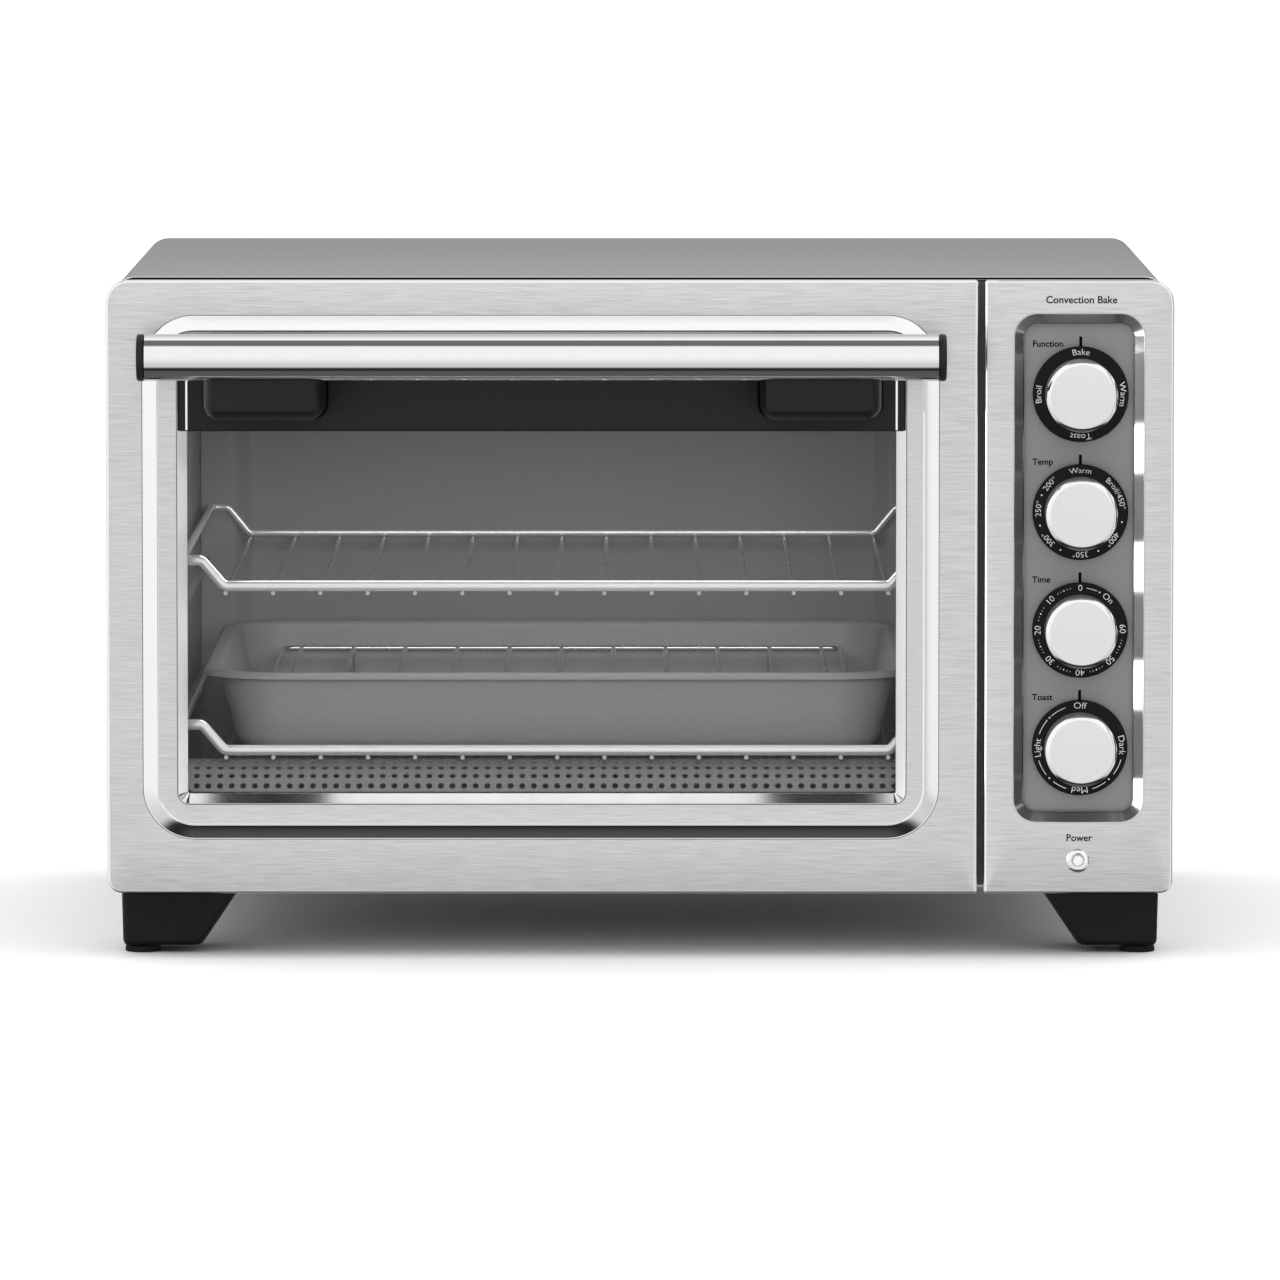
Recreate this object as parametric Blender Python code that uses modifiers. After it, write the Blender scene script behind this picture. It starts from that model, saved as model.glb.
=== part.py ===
"""Countertop convection toaster oven, built as separate pieces in metres with +Z up.

The front faces -Y, and the origin is on the surface it stands on, under the middle of its box.
Depths are measured backwards from the flat face of the door, so behind(0) is that face.
"""
import math

import bmesh
import bpy
from mathutils import Matrix, Vector

# ---- driving dimensions -------------------------------------------------------------------
WIDTH = 0.4350
HEIGHT = 0.2775
BODY_DEPTH = 0.3520
HANDLE_REACH = 0.0435
FRONT = -(BODY_DEPTH + HANDLE_REACH) / 2 + HANDLE_REACH

GAP = 0.0003
SHEET = 0.0009
CORNER_STEPS = 5

FACE_BOTTOM = 0.0264
FACE_TOP = 0.2772
DOOR_LEFT = -WIDTH / 2
DOOR_RIGHT = 0.1377
DOOR_DEPTH = 0.0140
DOOR_WALL = 0.0012
SLOT_FRONT = 0.0040
RAISE = 0.0026
FRAME_FRONT = 0.0172
FRAME_BACK = 0.0192

RING_OUTER = (-0.2025, 0.1216, 0.0489, 0.2625)
RING_INNER = (-0.1962, 0.1162, 0.0553, 0.2564)
WINDOW_OUTER = (-0.1883, 0.1082, 0.0635, 0.2483)
WINDOW_INNER = (-0.1846, 0.1044, 0.0676, 0.2442)
WINDOW_LIP = 0.0014
GLASS_FRONT = WINDOW_LIP + SHEET + GAP
GLASS_BACK = GLASS_FRONT + 0.0032
FOLD = 0.0004

HINGE_DEPTH = 0.0080
HINGE_Z = 0.0300
HINGE_PIN_RADIUS = 0.0015
HINGE_ARM_HALF = 0.0025
HINGE_ARMS = (-0.2015, 0.1195)
HINGE_ARM_THICK = 0.0030
HINGE_SLOT = 0.0070

STRIP_BOTTOM = 0.2156
HANDLE_Z = 0.2475
HANDLE_AHEAD = 0.0340
HANDLE_RADIUS = 0.0095
HANDLE_LEFT = -0.2033
HANDLE_RIGHT = 0.1238
HANDLE_CAP = 0.0028
HANDLE_WALL = 0.0012
POSTS = ((-0.1769, -0.1277), (0.0488, 0.0979))
POST_BOTTOM = 0.2214
POST_TOP = 0.2520

PANEL_LEFT = 0.1403
PANEL_DEPTH = 0.0165
RECESS_OUTER = (0.1523, 0.2053, 0.0555, 0.2633)
RECESS_INNER = (0.1562, 0.2006, 0.0594, 0.2589)
RECESS_DEPTH = 0.0043
DIAL_PLATE_FRONT = 0.0055
DIAL_PLATE_BACK = 0.0067

KNOB_X = 0.1795
KNOB_TOP_Z = 0.2304
KNOB_PITCH = 0.04817
KNOB_NAMES = ("function", "temperature", "timer", "toast")
KNOB_Z = {name: KNOB_TOP_Z - i * KNOB_PITCH for i, name in enumerate(KNOB_NAMES)}
SKIRT_RADIUS = 0.0195
SKIRT_FRONT = 0.0020
CAP_RADIUS = 0.0146
CAP_AHEAD = 0.0143
SHAFT_RADIUS = 0.0030
SWITCH_FRONT = 0.0220

LAMP_X = 0.1788
LAMP_Z = 0.0399

COVER_HALF = 0.2155
COVER_BOTTOM = 0.0270
COVER_RADIUS = 0.0095
PLATE_HALF = COVER_HALF - SHEET - 0.0004
REAR_PANEL_FRONT = 0.3466
REAR_PANEL_BACK = 0.3478

GLAND_X = 0.1780
GLAND_Z = 0.0620

CAVITY_LEFT = -0.1920
CAVITY_RIGHT = 0.1240
CAVITY_MIDDLE = (CAVITY_LEFT + CAVITY_RIGHT) / 2
CAVITY_FRONT = FRAME_BACK + GAP
CAVITY_BACK = 0.3360
WALL_END = CAVITY_BACK - SHEET - GAP
CAVITY_FLOOR = 0.0428
CAVITY_TOP = 0.2620
BULGE = 0.0080
BULGE_MARGIN = 0.0220
BULGE_SLOPE = 0.0090

RAIL_OFFSET = 0.1535
BEND_OFFSET = 0.1385
RAIL_RISE = 0.0105
RACK_FRONT = 0.0270
RACK_BACK = 0.3330
BAR_RADIUS = 0.00225
RAIL_RADIUS = 0.0015
WIRE_RADIUS = 0.0009
WIRE_DROP = 0.0029
WIRE_PITCH = 0.0194
WIRE_COUNT = 15
UPPER_BAR_Z = 0.1503
LOWER_BAR_Z = 0.0827
MIDDLE_LEDGE_Z = 0.1390
LEDGE_REACH = 0.0040
LEDGE_THICK = 0.0016

PAN_RIM_Z = 0.1140
PAN_HALF = 0.1470
PAN_FRONT = 0.0310
PAN_BACK = 0.3090
PAN_RIM = 0.0065
PAN_CORNER = 0.0350
PAN_BOTTOM_Z = LOWER_BAR_Z - WIRE_DROP + WIRE_RADIUS + GAP

BROIL_Z = 0.1025
BROIL_HALF = 0.1210
BROIL_FRONT = 0.0500
BROIL_BACK = 0.2900
BROIL_WIRE_RADIUS = 0.0010
BROIL_PITCH = 0.0225
BROIL_COUNT = 11

GUARD_FRONT = 0.0225
GUARD_RADIUS = 0.0178
GUARD_SPRING_Z = 0.0600

ELEMENT_RADIUS = 0.00325
UPPER_ELEMENT = (0.1100, 0.2500, 0.2500)
LOWER_ELEMENT = (0.0370, 0.3050, 0.0620)

FAN_DEPTH = 0.1900
FAN_Z = 0.2070
FAN_OPENING = 0.0360

TRAY_Z = 0.0432
TRAY_RIM = 0.0050
TRAY_SLOT_TOP = 0.0515

FOOT_TOP = COVER_BOTTOM - GAP
PAD_HEIGHT = 0.0025
FOOT_BOTTOM = PAD_HEIGHT + GAP
FOOT_LENGTH = 0.0400
FOOT_X = 0.2040
FRONT_FOOT = 0.0175
REAR_FOOT = 0.2950

# ---- finishes: colour, roughness, metallic ------------------------------------------------
FINISHES = {
    "brushed_steel": ((0.60, 0.60, 0.61), 0.35, 1.0),
    "polished_steel": ((0.82, 0.82, 0.83), 0.12, 1.0),
    "chrome_wire": ((0.80, 0.80, 0.80), 0.18, 1.0),
    "grey_paint": ((0.28, 0.28, 0.28), 0.45, 0.0),
    "dial_grey": ((0.20, 0.20, 0.20), 0.50, 0.0),
    "black_plastic": ((0.022, 0.022, 0.024), 0.40, 0.0),
    "light_plastic": ((0.72, 0.72, 0.72), 0.35, 0.0),
    "black_steel": ((0.05, 0.05, 0.05), 0.50, 0.0),
    "enamel": ((0.13, 0.13, 0.13), 0.40, 0.0),
    "dark_enamel": ((0.07, 0.07, 0.07), 0.30, 0.0),
    "zinc_steel": ((0.45, 0.45, 0.46), 0.45, 1.0),
    "heater_sheath": ((0.12, 0.12, 0.12), 0.55, 1.0),
    "rubber": ((0.03, 0.03, 0.03), 0.80, 0.0),
    "glass": ((0.85, 0.87, 0.87), 0.03, 0.0),
    "lamp_lens": ((0.90, 0.90, 0.90), 0.20, 0.0),
}


# ---- helpers ------------------------------------------------------------------------------
def behind(depth):
    """The Y of a point at this depth behind the door's face."""
    return FRONT + depth


def start():
    for item in list(bpy.data.objects):
        bpy.data.objects.remove(item)
    for name in ("toaster_oven", "cutters"):
        collection = bpy.data.collections.new(name)
        bpy.context.scene.collection.children.link(collection)


def finish_material(name):
    made = bpy.data.materials.get(name)
    if made:
        return made
    colour, roughness, metallic = FINISHES[name]
    made = bpy.data.materials.new(name)
    made.use_nodes = True
    shader = made.node_tree.nodes["Principled BSDF"]
    shader.inputs["Base Color"].default_value = (*colour, 1.0)
    shader.inputs["Roughness"].default_value = roughness
    shader.inputs["Metallic"].default_value = metallic
    made.diffuse_color = (*colour, 1.0)
    return made


def add_mesh(name, bm, finish=None):
    """A bmesh becomes a part when it has a finish, and a hidden cutter when it has none."""
    mesh = bpy.data.meshes.new(name)
    bmesh.ops.recalc_face_normals(bm, faces=bm.faces)
    bm.to_mesh(mesh)
    bm.free()
    item = bpy.data.objects.new(name, mesh)
    if finish:
        mesh.materials.append(finish_material(finish))
        mesh.shade_smooth()
        mesh.set_sharp_from_angle(angle=math.radians(32))
        bpy.data.collections["toaster_oven"].objects.link(item)
    else:
        item.hide_render = True
        item.display_type = "WIRE"
        bpy.data.collections["cutters"].objects.link(item)
    return item


def box(name, low, high, finish=None):
    size = [b - a for a, b in zip(low, high)]
    middle = [(a + b) / 2 for a, b in zip(low, high)]
    bm = bmesh.new()
    bmesh.ops.create_cube(bm, size=1.0, matrix=Matrix.Translation(middle) @ Matrix.Diagonal((*size, 1)))
    return add_mesh(name, bm, finish)


def along(axis):
    """The turn that takes local Z to a world axis."""
    return {
        "X": Matrix.Rotation(math.radians(90), 4, "Y"),
        "Y": Matrix.Rotation(math.radians(-90), 4, "X"),
        "Z": Matrix.Identity(4),
    }[axis]


def rod(name, start_point, length, radius, axis, finish=None, sides=24):
    bm = bmesh.new()
    bmesh.ops.create_cone(
        bm, cap_ends=True, segments=sides, radius1=radius, radius2=radius, depth=length,
        matrix=Matrix.Translation(start_point) @ along(axis) @ Matrix.Translation((0, 0, length / 2)),
    )
    return add_mesh(name, bm, finish)


def turned(name, profile, origin, axis, finish, steps=24):
    """A Screw-turned piece. The profile is (radius, height) pairs from the top of the outside down."""
    mesh = bpy.data.meshes.new(name)
    bm = bmesh.new()
    points = [bm.verts.new((radius, 0, height)) for radius, height in profile]
    for a, b in zip(points, points[1:]):
        bm.edges.new((a, b))
    if min(radius for radius, _ in profile) > 0:
        bm.edges.new((points[-1], points[0]))
    bm.to_mesh(mesh)
    bm.free()
    mesh.materials.append(finish_material(finish))
    item = bpy.data.objects.new(name, mesh)
    bpy.data.collections["toaster_oven"].objects.link(item)
    item.matrix_world = Matrix.Translation(origin) @ along(axis)
    screw = item.modifiers.new("turn", "SCREW")
    screw.steps = steps
    screw.render_steps = steps
    screw.use_merge_vertices = True
    screw.merge_threshold = 0.00001
    screw.use_smooth_shade = False
    return item


def rounded(bounds, radii, steps=CORNER_STEPS):
    """Points round a rectangle (x0, x1, z0, z1), with radii from the lower left, anticlockwise."""
    x0, x1, z0, z1 = bounds
    if not isinstance(radii, tuple):
        radii = (radii,) * 4
    corners = ((x0, z0, 1, 1, 180), (x1, z0, -1, 1, 270), (x1, z1, -1, -1, 0), (x0, z1, 1, -1, 90))
    points = []
    for (x, z, side, up, first), radius in zip(corners, radii):
        for i in range(steps + 1):
            angle = math.radians(first + 90 * i / steps)
            cx = x + side * radius
            cz = z + up * radius
            points.append((cx + radius * math.cos(angle), cz + radius * math.sin(angle)))
    return points


def circle(x, z, radius, sides=16):
    turns = [2 * math.pi * i / sides for i in range(sides)]
    return [(x + radius * math.cos(t), z + radius * math.sin(t)) for t in turns]


def grown(bounds, extra):
    x0, x1, z0, z1 = bounds
    return (x0 - extra, x1 + extra, z0 - extra, z1 + extra)


def at_depth(outline, depth):
    return [(x, behind(depth), z) for x, z in outline]


def loft(name, sections, finish=None, ring=False):
    """Skins outlines that have equal counts. A ring joins the last to the first, else both ends close."""
    bm = bmesh.new()
    loops = [[bm.verts.new(point) for point in section] for section in sections]
    pairs = list(zip(loops, loops[1:]))
    if ring:
        pairs.append((loops[-1], loops[0]))
    else:
        bm.faces.new(loops[0])
        bm.faces.new(loops[-1])
    count = len(loops[0])
    for near, far in pairs:
        for i in range(count):
            j = (i + 1) % count
            bm.faces.new((near[i], near[j], far[j], far[i]))
    return add_mesh(name, bm, finish)


def mesh_from_curve(item, name, finish=None):
    """The evaluated curve becomes a welded mesh part in the curve's place, and the curve goes."""
    bpy.context.view_layer.update()
    depsgraph = bpy.context.evaluated_depsgraph_get()
    mesh = bpy.data.meshes.new_from_object(item.evaluated_get(depsgraph))
    bm = bmesh.new()
    bm.from_mesh(mesh)
    bmesh.ops.remove_doubles(bm, verts=bm.verts, dist=0.000002)
    bmesh.ops.dissolve_degenerate(bm, edges=bm.edges, dist=0.000002)
    made = add_mesh(name, bm, finish)
    made.matrix_world = item.matrix_world.copy()
    bpy.data.objects.remove(item)
    return made


def plate(name, outlines, low, high, axis, finish=None):
    """A flat outline with its holes, extruded from low to high along an axis.

    Along Y the outline is (x, z), along X it is (y, z) and along Z it is (x, y).
    """
    curve = bpy.data.curves.new(f"{name}_outline", "CURVE")
    curve.dimensions = "2D"
    curve.fill_mode = "BOTH"
    curve.extrude = (high - low) / 2
    for outline in outlines:
        spline = curve.splines.new("POLY")
        spline.points.add(len(outline) - 1)
        for point, (u, v) in zip(spline.points, outline):
            point.co = (u, v, 0, 1)
        spline.use_cyclic_u = True
    item = bpy.data.objects.new(f"{name}_outline", curve)
    bpy.data.collections["cutters"].objects.link(item)
    middle = (low + high) / 2
    item.matrix_world = {
        "X": Matrix(((0, 0, 1, middle), (1, 0, 0, 0), (0, 1, 0, 0), (0, 0, 0, 1))),
        "Y": Matrix(((1, 0, 0, 0), (0, 0, -1, middle), (0, 1, 0, 0), (0, 0, 0, 1))),
        "Z": Matrix.Translation((0, 0, middle)),
    }[axis]
    return mesh_from_curve(item, name, finish)


def tube(name, points, radius, finish=None, closed=False, resolution=2):
    curve = bpy.data.curves.new(f"{name}_path", "CURVE")
    curve.dimensions = "3D"
    curve.bevel_depth = radius
    curve.bevel_resolution = resolution
    curve.use_fill_caps = True
    spline = curve.splines.new("POLY")
    spline.points.add(len(points) - 1)
    for point, place in zip(spline.points, points):
        point.co = (*place, 1)
    spline.use_cyclic_u = closed
    item = bpy.data.objects.new(f"{name}_path", curve)
    bpy.data.collections["cutters"].objects.link(item)
    return mesh_from_curve(item, name, finish)


def bent(points, radius, steps=4, closed=False):
    """Rounds the corners of a path of straight runs with arcs of one bend radius."""
    path = [Vector(point) for point in points]
    count = len(path)
    out = []
    for i, corner in enumerate(path):
        if not closed and i in (0, count - 1):
            out.append(corner)
            continue
        before = (path[i - 1] - corner).normalized()
        after = (path[(i + 1) % count] - corner).normalized()
        half = before.angle(after) / 2
        centre = corner + (before + after).normalized() * (radius / math.sin(half))
        first = corner + before * (radius / math.tan(half)) - centre
        last = corner + after * (radius / math.tan(half)) - centre
        sweep = first.angle(last)
        for k in range(steps + 1):
            part = k / steps
            a = math.sin((1 - part) * sweep) / math.sin(sweep)
            b = math.sin(part * sweep) / math.sin(sweep)
            out.append(centre + first * a + last * b)
    return out


def boolean(item, other, operation):
    change = item.modifiers.new(operation.lower(), "BOOLEAN")
    change.object = other
    change.operation = operation
    change.solver = "EXACT"


def cut(item, *cutters):
    for cutter in cutters:
        boolean(item, cutter, "DIFFERENCE")


def join(item, *others):
    for other in others:
        boolean(item, other, "UNION")


def pivot(name, location):
    empty = bpy.data.objects.new(name, None)
    empty.empty_display_size = 0.01
    empty.location = location
    bpy.data.collections["toaster_oven"].objects.link(empty)
    return empty


def hang_on(parent, *items):
    bpy.context.view_layer.update()
    for item in items:
        place = item.matrix_world.copy()
        item.parent = parent
        item.matrix_parent_inverse = parent.matrix_world.inverted()
        item.matrix_world = place


# ---- casing -------------------------------------------------------------------------------
def arch(half, top, bottom, radius, steps=CORNER_STEPS):
    """An inverted U from its lower left, over the top, to its lower right."""
    points = [(-half, bottom)]
    for centre_x, first in ((-half + radius, 180), (half - radius, 90)):
        for i in range(steps + 1):
            angle = math.radians(first - 90 * i / steps)
            points.append((centre_x + radius * math.cos(angle), top - radius + radius * math.sin(angle)))
    points.append((half, bottom))
    return points


def outer_cover():
    outside = arch(COVER_HALF, HEIGHT, COVER_BOTTOM, COVER_RADIUS)
    inside = arch(COVER_HALF - SHEET, HEIGHT - SHEET, COVER_BOTTOM, COVER_RADIUS - SHEET)
    plate("outer_cover", [outside + inside[::-1]], behind(FRAME_FRONT), behind(BODY_DEPTH), "Y", "grey_paint")


def base_plate():
    low = (-PLATE_HALF, behind(FRAME_BACK + 0.0004), COVER_BOTTOM)
    high = (PLATE_HALF, behind(BODY_DEPTH - 0.0010), COVER_BOTTOM + 0.0010)
    box("base_plate", low, high, "zinc_steel")


def rear_panel():
    edge = rounded((-PLATE_HALF, PLATE_HALF, 0.0283, 0.2762), (0.002, 0.002, 0.008, 0.008))
    slot = rounded((CAVITY_LEFT + 0.0025, CAVITY_RIGHT - 0.0025, 0.0426, TRAY_SLOT_TOP), 0.002, 1)
    gland = circle(GLAND_X, GLAND_Z, 0.0066)
    low, high = behind(REAR_PANEL_FRONT), behind(REAR_PANEL_BACK)
    plate("rear_panel", [edge, slot, gland], low, high, "Y", "zinc_steel")


def cord_gland():
    profile = (
        (0.0062, 0.0030), (0.0090, 0.0022), (0.0090, 0.0), (0.0062, 0.0), (0.0062, -0.0100),
        (0.0036, -0.0100), (0.0036, 0.0030),
    )
    origin = (GLAND_X, behind(REAR_PANEL_BACK + GAP), GLAND_Z)
    turned("cord_gland", profile, origin, "Y", "rubber", 16)


def hinge_arm(name, middle_x):
    """A stadium-shaped tab round the hinge axis that runs back into the front frame."""
    y = behind(HINGE_DEPTH)
    back = behind(FRAME_FRONT + 0.0010)
    outline = [(back, HINGE_Z - HINGE_ARM_HALF), (back, HINGE_Z + HINGE_ARM_HALF)]
    for i in range(9):
        angle = math.radians(90 + 180 * i / 8)
        outline.append((y + HINGE_ARM_HALF * math.cos(angle), HINGE_Z + HINGE_ARM_HALF * math.sin(angle)))
    hole = circle(y, HINGE_Z, HINGE_PIN_RADIUS + GAP, 12)
    low = middle_x - HINGE_ARM_THICK / 2
    return plate(name, [outline, hole], low, low + HINGE_ARM_THICK, "X")


def front_frame():
    edge = rounded((-PLATE_HALF, PLATE_HALF, 0.0283, 0.2762), (0.002, 0.002, 0.008, 0.008))
    mouth = rounded((CAVITY_LEFT + 0.0005, CAVITY_RIGHT - 0.0005, 0.0480, 0.2590), 0.003, 2)
    holes = [circle(KNOB_X, z, 0.0050, 12) for z in KNOB_Z.values()]
    holes.append(circle(LAMP_X, LAMP_Z, 0.0050, 12))
    frame = plate(
        "front_frame", [edge, mouth, *holes], behind(FRAME_FRONT), behind(FRAME_BACK), "Y", "black_steel"
    )
    for side, x in zip(("left", "right"), HINGE_ARMS):
        join(frame, hinge_arm(f"hinge_arm_{side}", x))


def feet():
    inner_top, inner_low, outer_low, outer_top = 0.1640, 0.1800, 0.2120, 0.2126
    for side, sign in (("left", -1), ("right", 1)):
        corners = (
            (inner_top, FOOT_TOP), (inner_low, FOOT_BOTTOM), (outer_low, FOOT_BOTTOM), (outer_top, FOOT_TOP)
        )
        outline = [(sign * x, z) for x, z in corners]
        for end, depth in (("front", FRONT_FOOT), ("rear", REAR_FOOT)):
            name = f"{end}_{side}_foot"
            foot = plate(name, [outline], behind(depth), behind(depth + FOOT_LENGTH), "Y", "black_plastic")
            edges = foot.modifiers.new("edges", "BEVEL")
            edges.width = 0.0016
            edges.segments = 1
            centre_y = behind(depth + 0.0095)
            rod(f"{end}_{side}_pad", (sign * FOOT_X, centre_y, 0), PAD_HEIGHT, 0.0076, "Z", "rubber", 20)


# ---- cavity -------------------------------------------------------------------------------
def wall_outline(inner, outer, reach):
    """The section of a side wall with its three folded rack ledges."""
    points = [(outer, 0.0420), (inner, 0.0420)]
    rests = (LOWER_BAR_Z + RAIL_RISE - BAR_RADIUS, MIDDLE_LEDGE_Z, UPPER_BAR_Z + RAIL_RISE - BAR_RADIUS)
    for rest_z in rests:
        top = rest_z - GAP
        points += [(inner, top - LEDGE_THICK), (reach, top - LEDGE_THICK), (reach, top), (inner, top)]
    points += [(inner, 0.2628), (outer, 0.2628)]
    return points


def cavity_walls():
    sides = (("left", CAVITY_LEFT, -1), ("right", CAVITY_RIGHT, 1))
    walls = {}
    for side, inner, sign in sides:
        outline = wall_outline(inner, inner + sign * SHEET, inner - sign * LEDGE_REACH)
        name = f"cavity_{side}_wall"
        walls[side] = plate(name, [outline], behind(CAVITY_FRONT), behind(WALL_END), "Y", "enamel")
    start_x = CAVITY_RIGHT - 0.0010
    fan = rod("fan_opening", (start_x, behind(FAN_DEPTH), FAN_Z), 0.0040, FAN_OPENING, "X", sides=32)
    cut(walls["right"], fan)
    for near, far, z in (UPPER_ELEMENT, LOWER_ELEMENT):
        for depth in (near, far):
            hole = rod("element_hole", (start_x, behind(depth), z), 0.0040, 0.0040, "X", sides=12)
            cut(walls["right"], hole)


def cavity_sheets():
    left, right = CAVITY_LEFT + GAP, CAVITY_RIGHT - GAP
    front, back = behind(CAVITY_FRONT), behind(WALL_END)
    box("cavity_top", (left, front, CAVITY_TOP), (right, back, CAVITY_TOP + SHEET), "enamel")
    box("cavity_floor", (left, front, CAVITY_FLOOR - SHEET), (right, back, CAVITY_FLOOR), "enamel")


def cavity_back():
    """One pressing: a flange, a sloped shoulder and a panel that stands back from it."""
    flange = (CAVITY_LEFT + GAP, CAVITY_RIGHT - GAP, TRAY_SLOT_TOP + 0.0005, CAVITY_TOP - GAP)
    shoulder = grown(flange, -BULGE_MARGIN + BULGE_SLOPE)
    panel = grown(flange, -BULGE_MARGIN)
    front = CAVITY_BACK - SHEET
    sections = [
        at_depth(rounded(panel, 0.004), front + BULGE),
        at_depth(rounded(shoulder, 0.013), front),
        at_depth(rounded(flange, 0.002), front),
        at_depth(rounded(flange, 0.002), CAVITY_BACK),
        at_depth(rounded(grown(shoulder, 0.0004), 0.0134), CAVITY_BACK),
        at_depth(rounded(grown(panel, 0.0004), 0.0044), CAVITY_BACK + BULGE),
    ]
    loft("cavity_back", sections, "enamel")


def element_guard():
    """A quarter round of sheet in front of the lower element, on a short straight foot."""
    spring_y = behind(GUARD_FRONT + GUARD_RADIUS)
    foot_z = GUARD_SPRING_Z - 0.0034
    thick = 0.0006

    def quarter(radius):
        turns = [math.radians(180 - 90 * i / 8) for i in range(9)]
        return [(spring_y + radius * math.cos(t), GUARD_SPRING_Z + radius * math.sin(t)) for t in turns]

    outside = [(spring_y - GUARD_RADIUS, foot_z), *quarter(GUARD_RADIUS)]
    outside.append((spring_y + 0.0040, GUARD_SPRING_Z + GUARD_RADIUS))
    inside = [(spring_y - GUARD_RADIUS + thick, foot_z), *quarter(GUARD_RADIUS - thick)]
    inside.append((spring_y + 0.0040, GUARD_SPRING_Z + GUARD_RADIUS - thick))
    low, high = CAVITY_LEFT + 0.0008, CAVITY_RIGHT - 0.0008
    plate("element_guard", [outside + inside[::-1]], low, high, "X", "enamel")


def heating_element(name, near, far, z):
    """One sheathed rod that runs in through the right wall, round, and out again."""
    end_x = CAVITY_RIGHT + 0.0100
    turn_x = CAVITY_LEFT + 0.0120
    corners = (
        (end_x, behind(near), z), (turn_x, behind(near), z), (turn_x, behind(far), z), (end_x, behind(far), z)
    )
    tube(name, bent(corners, 0.0250, 6), ELEMENT_RADIUS, "heater_sheath", resolution=3)


def crumb_tray():
    left, right = CAVITY_LEFT + 0.0040, CAVITY_RIGHT - 0.0040
    front = behind(0.0240)
    lip_front = behind(REAR_PANEL_BACK + GAP)
    top = TRAY_Z + TRAY_RIM
    tray = box("crumb_tray", (left, front, TRAY_Z), (right, lip_front + 0.0006, top), "zinc_steel")
    inside = (left + SHEET, front + SHEET, TRAY_Z + SHEET)
    cut(tray, box("tray_hollow", inside, (right - SHEET, lip_front - SHEET, top + 0.001)))
    lip_low = (CAVITY_LEFT + 0.0010, lip_front, TRAY_Z - 0.0012)
    join(tray, box("tray_lip", lip_low, (CAVITY_RIGHT - 0.0010, lip_front + 0.0012, TRAY_SLOT_TOP + 0.0012)))
    hang_on(pivot("crumb_tray_slide", (CAVITY_MIDDLE, front, TRAY_Z)), tray)


# ---- racks and pan ------------------------------------------------------------------------
def wires(name, middle_x, pitch, count, front, back, z, radius, sides=6):
    """A row of parallel wires in one cutter mesh, each its own closed body."""
    bm = bmesh.new()
    for i in range(count):
        x = middle_x + (i - (count - 1) / 2) * pitch
        place = Matrix.Translation((x, (front + back) / 2, z)) @ along("Y")
        bmesh.ops.create_cone(
            bm, cap_ends=True, segments=sides, radius1=radius, radius2=radius, depth=back - front, matrix=place
        )
    return add_mesh(name, bm)


def rack(name, bar_z):
    """A thick front bar with raised ends, a thinner rail loop behind it, and wires welded underneath."""
    rail_z = bar_z + RAIL_RISE
    wire_z = bar_z - WIRE_DROP
    back_z = wire_z + WIRE_RADIUS + RAIL_RADIUS - 0.0002
    front, back = behind(RACK_FRONT), behind(RACK_BACK)
    left_rail, right_rail = CAVITY_MIDDLE - RAIL_OFFSET, CAVITY_MIDDLE + RAIL_OFFSET
    left_bend, right_bend = CAVITY_MIDDLE - BEND_OFFSET, CAVITY_MIDDLE + BEND_OFFSET
    bar_path = (
        (left_rail, front + 0.0140, rail_z), (left_rail, front, rail_z), (left_bend, front, bar_z),
        (right_bend, front, bar_z), (right_rail, front, rail_z), (right_rail, front + 0.0140, rail_z),
    )
    loop_path = (
        (left_rail, front + 0.0110, rail_z), (left_rail, back, rail_z), (left_bend, back, back_z),
        (right_bend, back, back_z), (right_rail, back, rail_z), (right_rail, front + 0.0110, rail_z),
    )
    made = tube(name, bent(bar_path, 0.0060, 3), BAR_RADIUS, "chrome_wire")
    loop = tube(f"{name}_loop", bent(loop_path, 0.0050, 3), RAIL_RADIUS)
    wire_front, wire_back = front - 0.0012, back + 0.0008
    row = wires(
        f"{name}_wires", CAVITY_MIDDLE, WIRE_PITCH, WIRE_COUNT, wire_front, wire_back, wire_z, WIRE_RADIUS
    )
    join(made, loop, row)
    hang_on(pivot(f"{name}_slide", (CAVITY_MIDDLE, front, bar_z)), made)


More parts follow.
